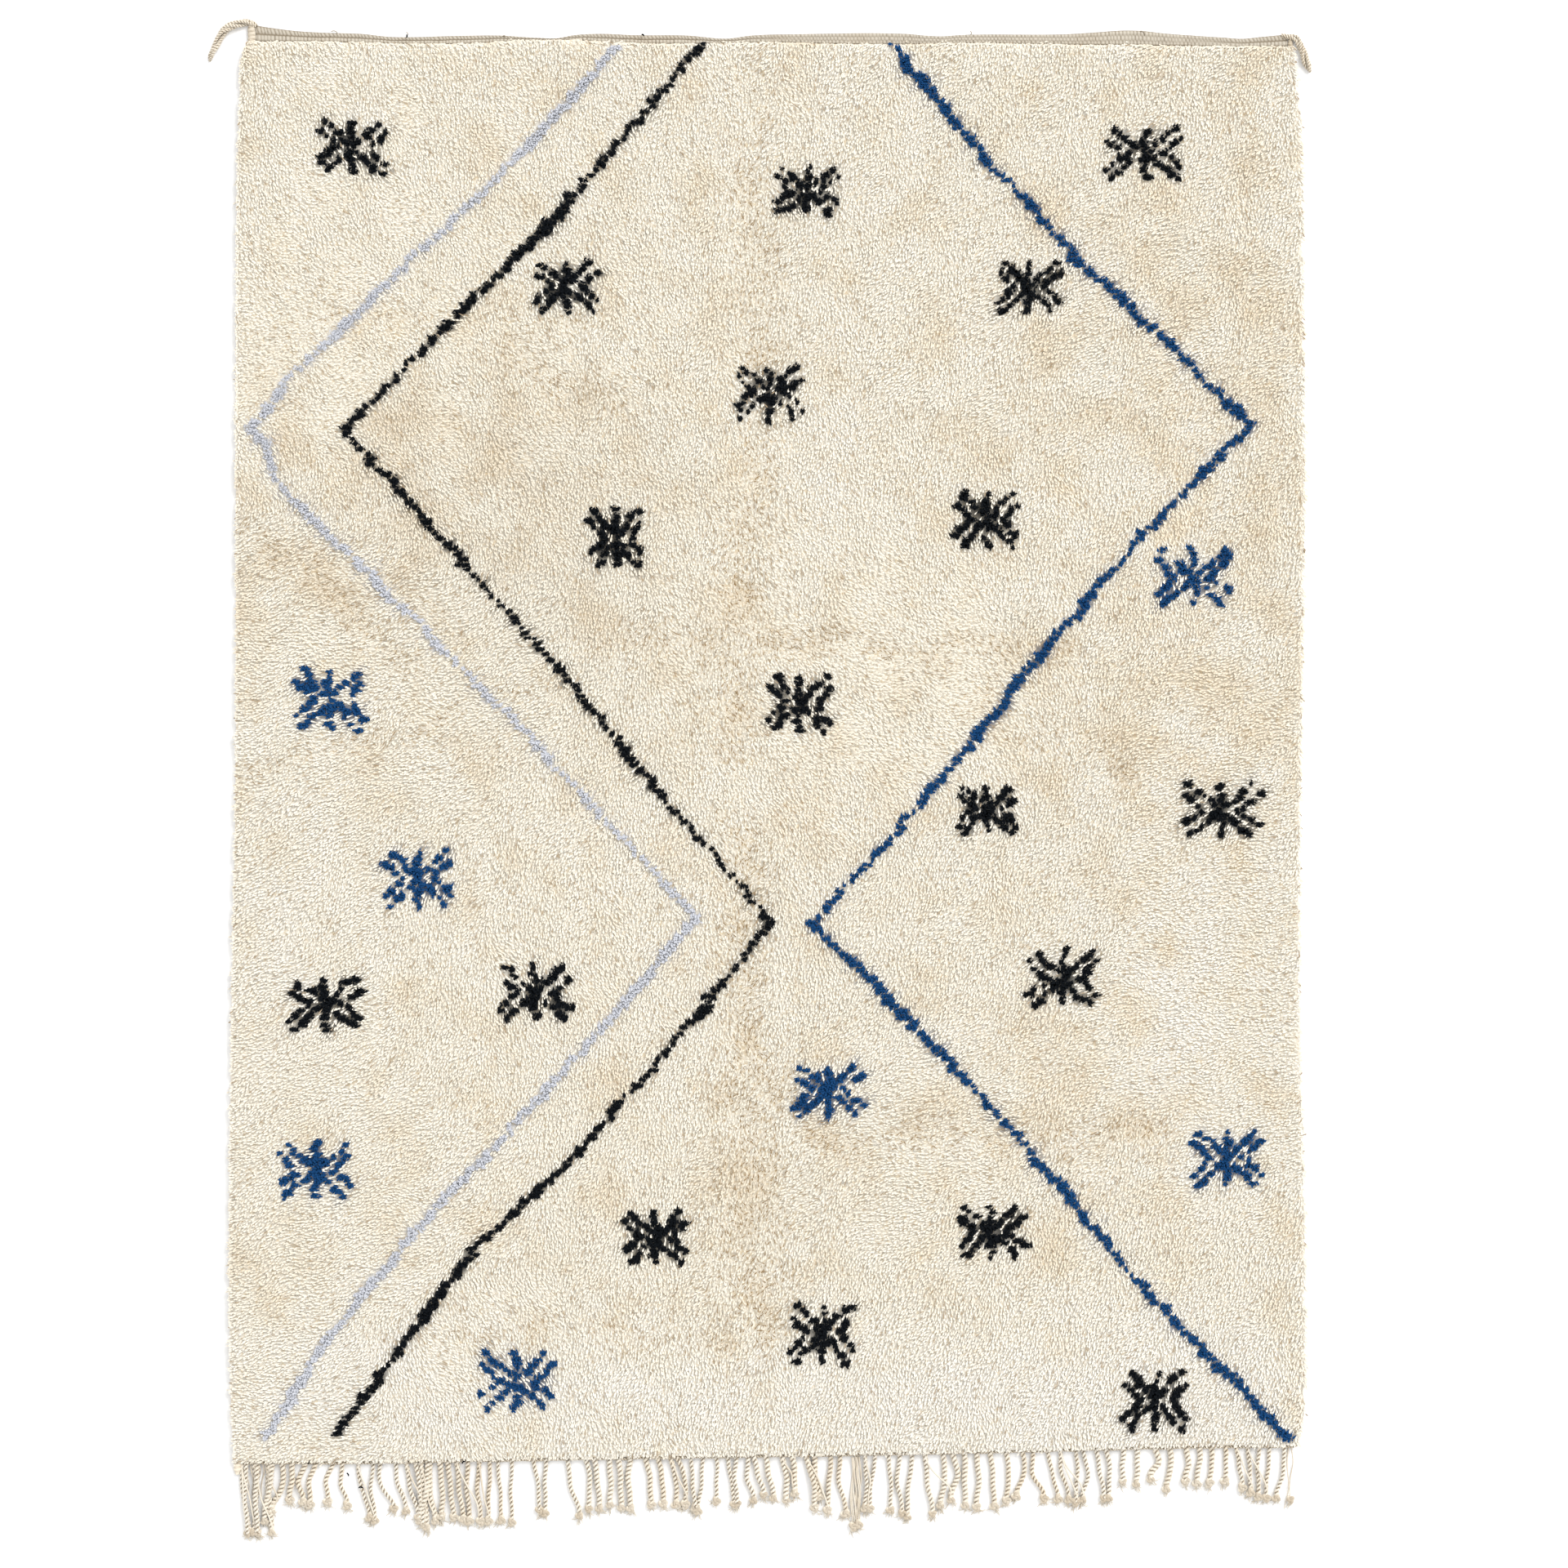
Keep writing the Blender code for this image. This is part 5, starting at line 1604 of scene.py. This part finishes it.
heading = {
    "left": -0.7206,
    "right": 0.7316,
    "rib": 0.0051,           # from one rib or cell to the next
    "columnsPerRib": 4,
    "rowsUp": 11,
    "base": 0.0022,
    "ribHeight": 0.0016,
    "cellsFrom": 0.015,      # x where two ribbed bands give way to rows of small cells
    "cellsTo": 0.620,
    "fade": 0.02,            # over which they do
    "seamGap": 0.0004,       # from the pile, and from the outline above
    "topGap": 0.0002,
    "wander": 0.0004,        # how far its rows wander, and how unevenly its ribs are spaced
    "uneven": 0.25,
    "slant": 1.3,            # ribs by which the upper ones slant
    "cellRows": 3,
    "rough": 0.15,
    "warmth": (0.45, 0.30, 0.10),    # usual, how far it comes and goes, and from place to place
}


def ribs(u, power):
    # rounded ribs from 0 to 1, one for each unit of u
    return np.abs(np.sin(math.pi * u)) ** power


def makeHeading(material):
    # A slab with the weave on its top. Ribbed part: below, |sin(pi u)| ribs, above a seam of
    # slanting ones, |sin(pi (u + slant v))|. Celled part: three rows of |sin(pi u)| sin(pi w),
    # every other row shifted by half a cell.
    left, right = heading["left"], heading["right"]
    number = round((right - left) / heading["rib"]) * heading["columnsPerRib"] + 1
    x = np.linspace(right, left, number)[:, None]
    v = np.linspace(0, 1, heading["rowsUp"])
    low = edgeAcross("seam", x) + heading["seamGap"]
    high = edgeAcross("heading", x) - heading["topGap"]
    wander = heading["wander"] * wavesAlong(x, 0.02, 42)
    y = low + (high - low) * v + wander * np.sin(v * math.pi)
    u = x / heading["rib"] + heading["uneven"] * wavesAlong(x, 0.03, 41)
    lower = ribs(u, 0.6) * np.sin(math.pi * np.clip(v / 0.5, 0, 1)) ** 0.4
    upper = (0.85 * ribs(u + heading["slant"] * v, 0.8)
             * np.sin(math.pi * np.clip((v - 0.5) / 0.5, 0, 1)) ** 0.4)
    w = v * heading["cellRows"]
    cells = ribs(u + 0.5 * (np.floor(w) % 2), 0.6) * ribs(w, 0.5)
    inCells = (1 / (1 + np.exp(-(x - heading["cellsFrom"]) / heading["fade"]))
               / (1 + np.exp((x - heading["cellsTo"]) / heading["fade"])))
    weave = np.where(v <= 0.5, lower, upper) * (1 - inCells) + cells * inCells
    place = x + 0 * v
    rough = heading["rough"] * softWaves(place, y, 0.008, 43)
    z = heading["base"] + heading["ribHeight"] * (weave + rough).clip(0, 1.2)
    z = z * np.clip(np.minimum(v, 1 - v) * 12, 0.55, 1)
    mesh, _, rim = makeSlab("woven_heading", x, y, z, 0.0002, 1.46, 0.03)
    dice = np.random.default_rng(44)
    usual, swing, spread = heading["warmth"]
    warm = usual + swing * softWaves(place, y, 0.10, 45) + dice.normal(0, spread, y.shape)
    # painted shade between the ribs and cells, in lightness and depth
    tone = np.stack([warm, 0.30 - 0.25 * (1 - weave), 0.95 * (1 - weave) ** 1.2], -1).reshape(-1, 3)
    setPointColours(mesh, "tone", np.concatenate([tone, tone[rim]]).clip(0, 1))
    return addPiece(mesh, material, "top_heading")


pileWool = woolMaterial("pile wool")
dyedWool = woolMaterial("dyed pile wool", sheen=0.0, specular=wool["dyedSpecular"])
bedWool = bedMaterial("packed pile wool")
groundWeave = weaveMaterial("ground weave")

ground = makeGround(groundWeave)
bed = makeBed(bedWool)
strips = makePile(pileWool)
dyed = makePattern(dyedWool)
bodies = makeKnots(dyedWool)
cordWool = woolMaterial("fringe cord")
edgeWool = woolMaterial("edge wool")
headingWool = woolMaterial("flat weave")
trim = [makeFringe(cordWool), makeRoll("left", edgeWool, "left_selvedge"),
        makeRoll("right", edgeWool, "right_selvedge"), makeHeading(headingWool),
        makeTassel("left", cordWool, "left_tassel"), makeTassel("right", cordWool, "right_tassel"),
        makeSnips("dark", dyedWool, "fringe", (1.0, 0.0, 0.0)),
        makeSnips("pulled", headingWool, "top_heading")]

stage = {
    "floorSize": 24.0,
    "floor": (0.93, 0.93, 0.93),
    "world": 1.05,
    "key": (13.8, 16.8, 22.0, 16.0, 6500.0),      # x, y, z, size and watts of the softbox
    "lens": 85.0,            # millimetres, as the sensor's width
    "sensor": 36.0,
    "view": (0.023, -0.05175, 2.208),         # middle and width of the photographed square
    "viewLevel": 0.003,                       # the height at which it has that width
}


def makeFloor():
    # a pale square just under the rug, faintly uneven in its gloss
    half = stage["floorSize"] / 2
    points = np.array([[-half, -half, 0], [half, -half, 0], [half, half, 0], [-half, half, 0]])
    mesh = meshOf("studio_floor", points - [0, 0, 0.0002], [np.array([[0, 1, 2, 3]])])
    material, tree, shader = newMaterial("pale floor", sheen=0.0, specular=0.5)
    grain = noise(tree, objectPlace(tree), 40.0)
    tree.links.new(ranged(tree, grain, 0.0, 1.0, 0.80, 0.90), shader.inputs["Roughness"])
    shader.inputs["Base Color"].default_value = rgb(stage["floor"])
    mesh.materials.append(material)
    linked("studio_floor", mesh)


def makeLight(name, x, y, z, size, watts):
    # a round softbox that faces the origin
    lamp = bpy.data.lights.new(name, "AREA")
    lamp.shape = "DISK"
    lamp.size = size
    lamp.energy = watts
    obj = linked(name, lamp)
    obj.location = (x, y, z)
    obj.rotation_euler = (-obj.location).to_track_quat("-Z", "Y").to_euler()


def makeCamera():
    # straight above: distance = width seen * lens / sensor width
    x, y, width = stage["view"]
    camera = bpy.data.cameras.new("camera")
    camera.lens = stage["lens"]
    camera.sensor_width = stage["sensor"]
    obj = linked("camera", camera)
    obj.location = (x, y, stage["viewLevel"] + width * stage["lens"] / stage["sensor"])
    bpy.context.scene.camera = obj


makeFloor()
makeLight("softbox", *stage["key"])
world = bpy.data.worlds.new("studio")
world.use_nodes = True
world.node_tree.nodes["Background"].inputs["Color"].default_value = (1, 1, 1, 1)
world.node_tree.nodes["Background"].inputs["Strength"].default_value = stage["world"]
bpy.context.scene.world = world
bpy.context.scene.view_settings.view_transform = "Standard"
makeCamera()
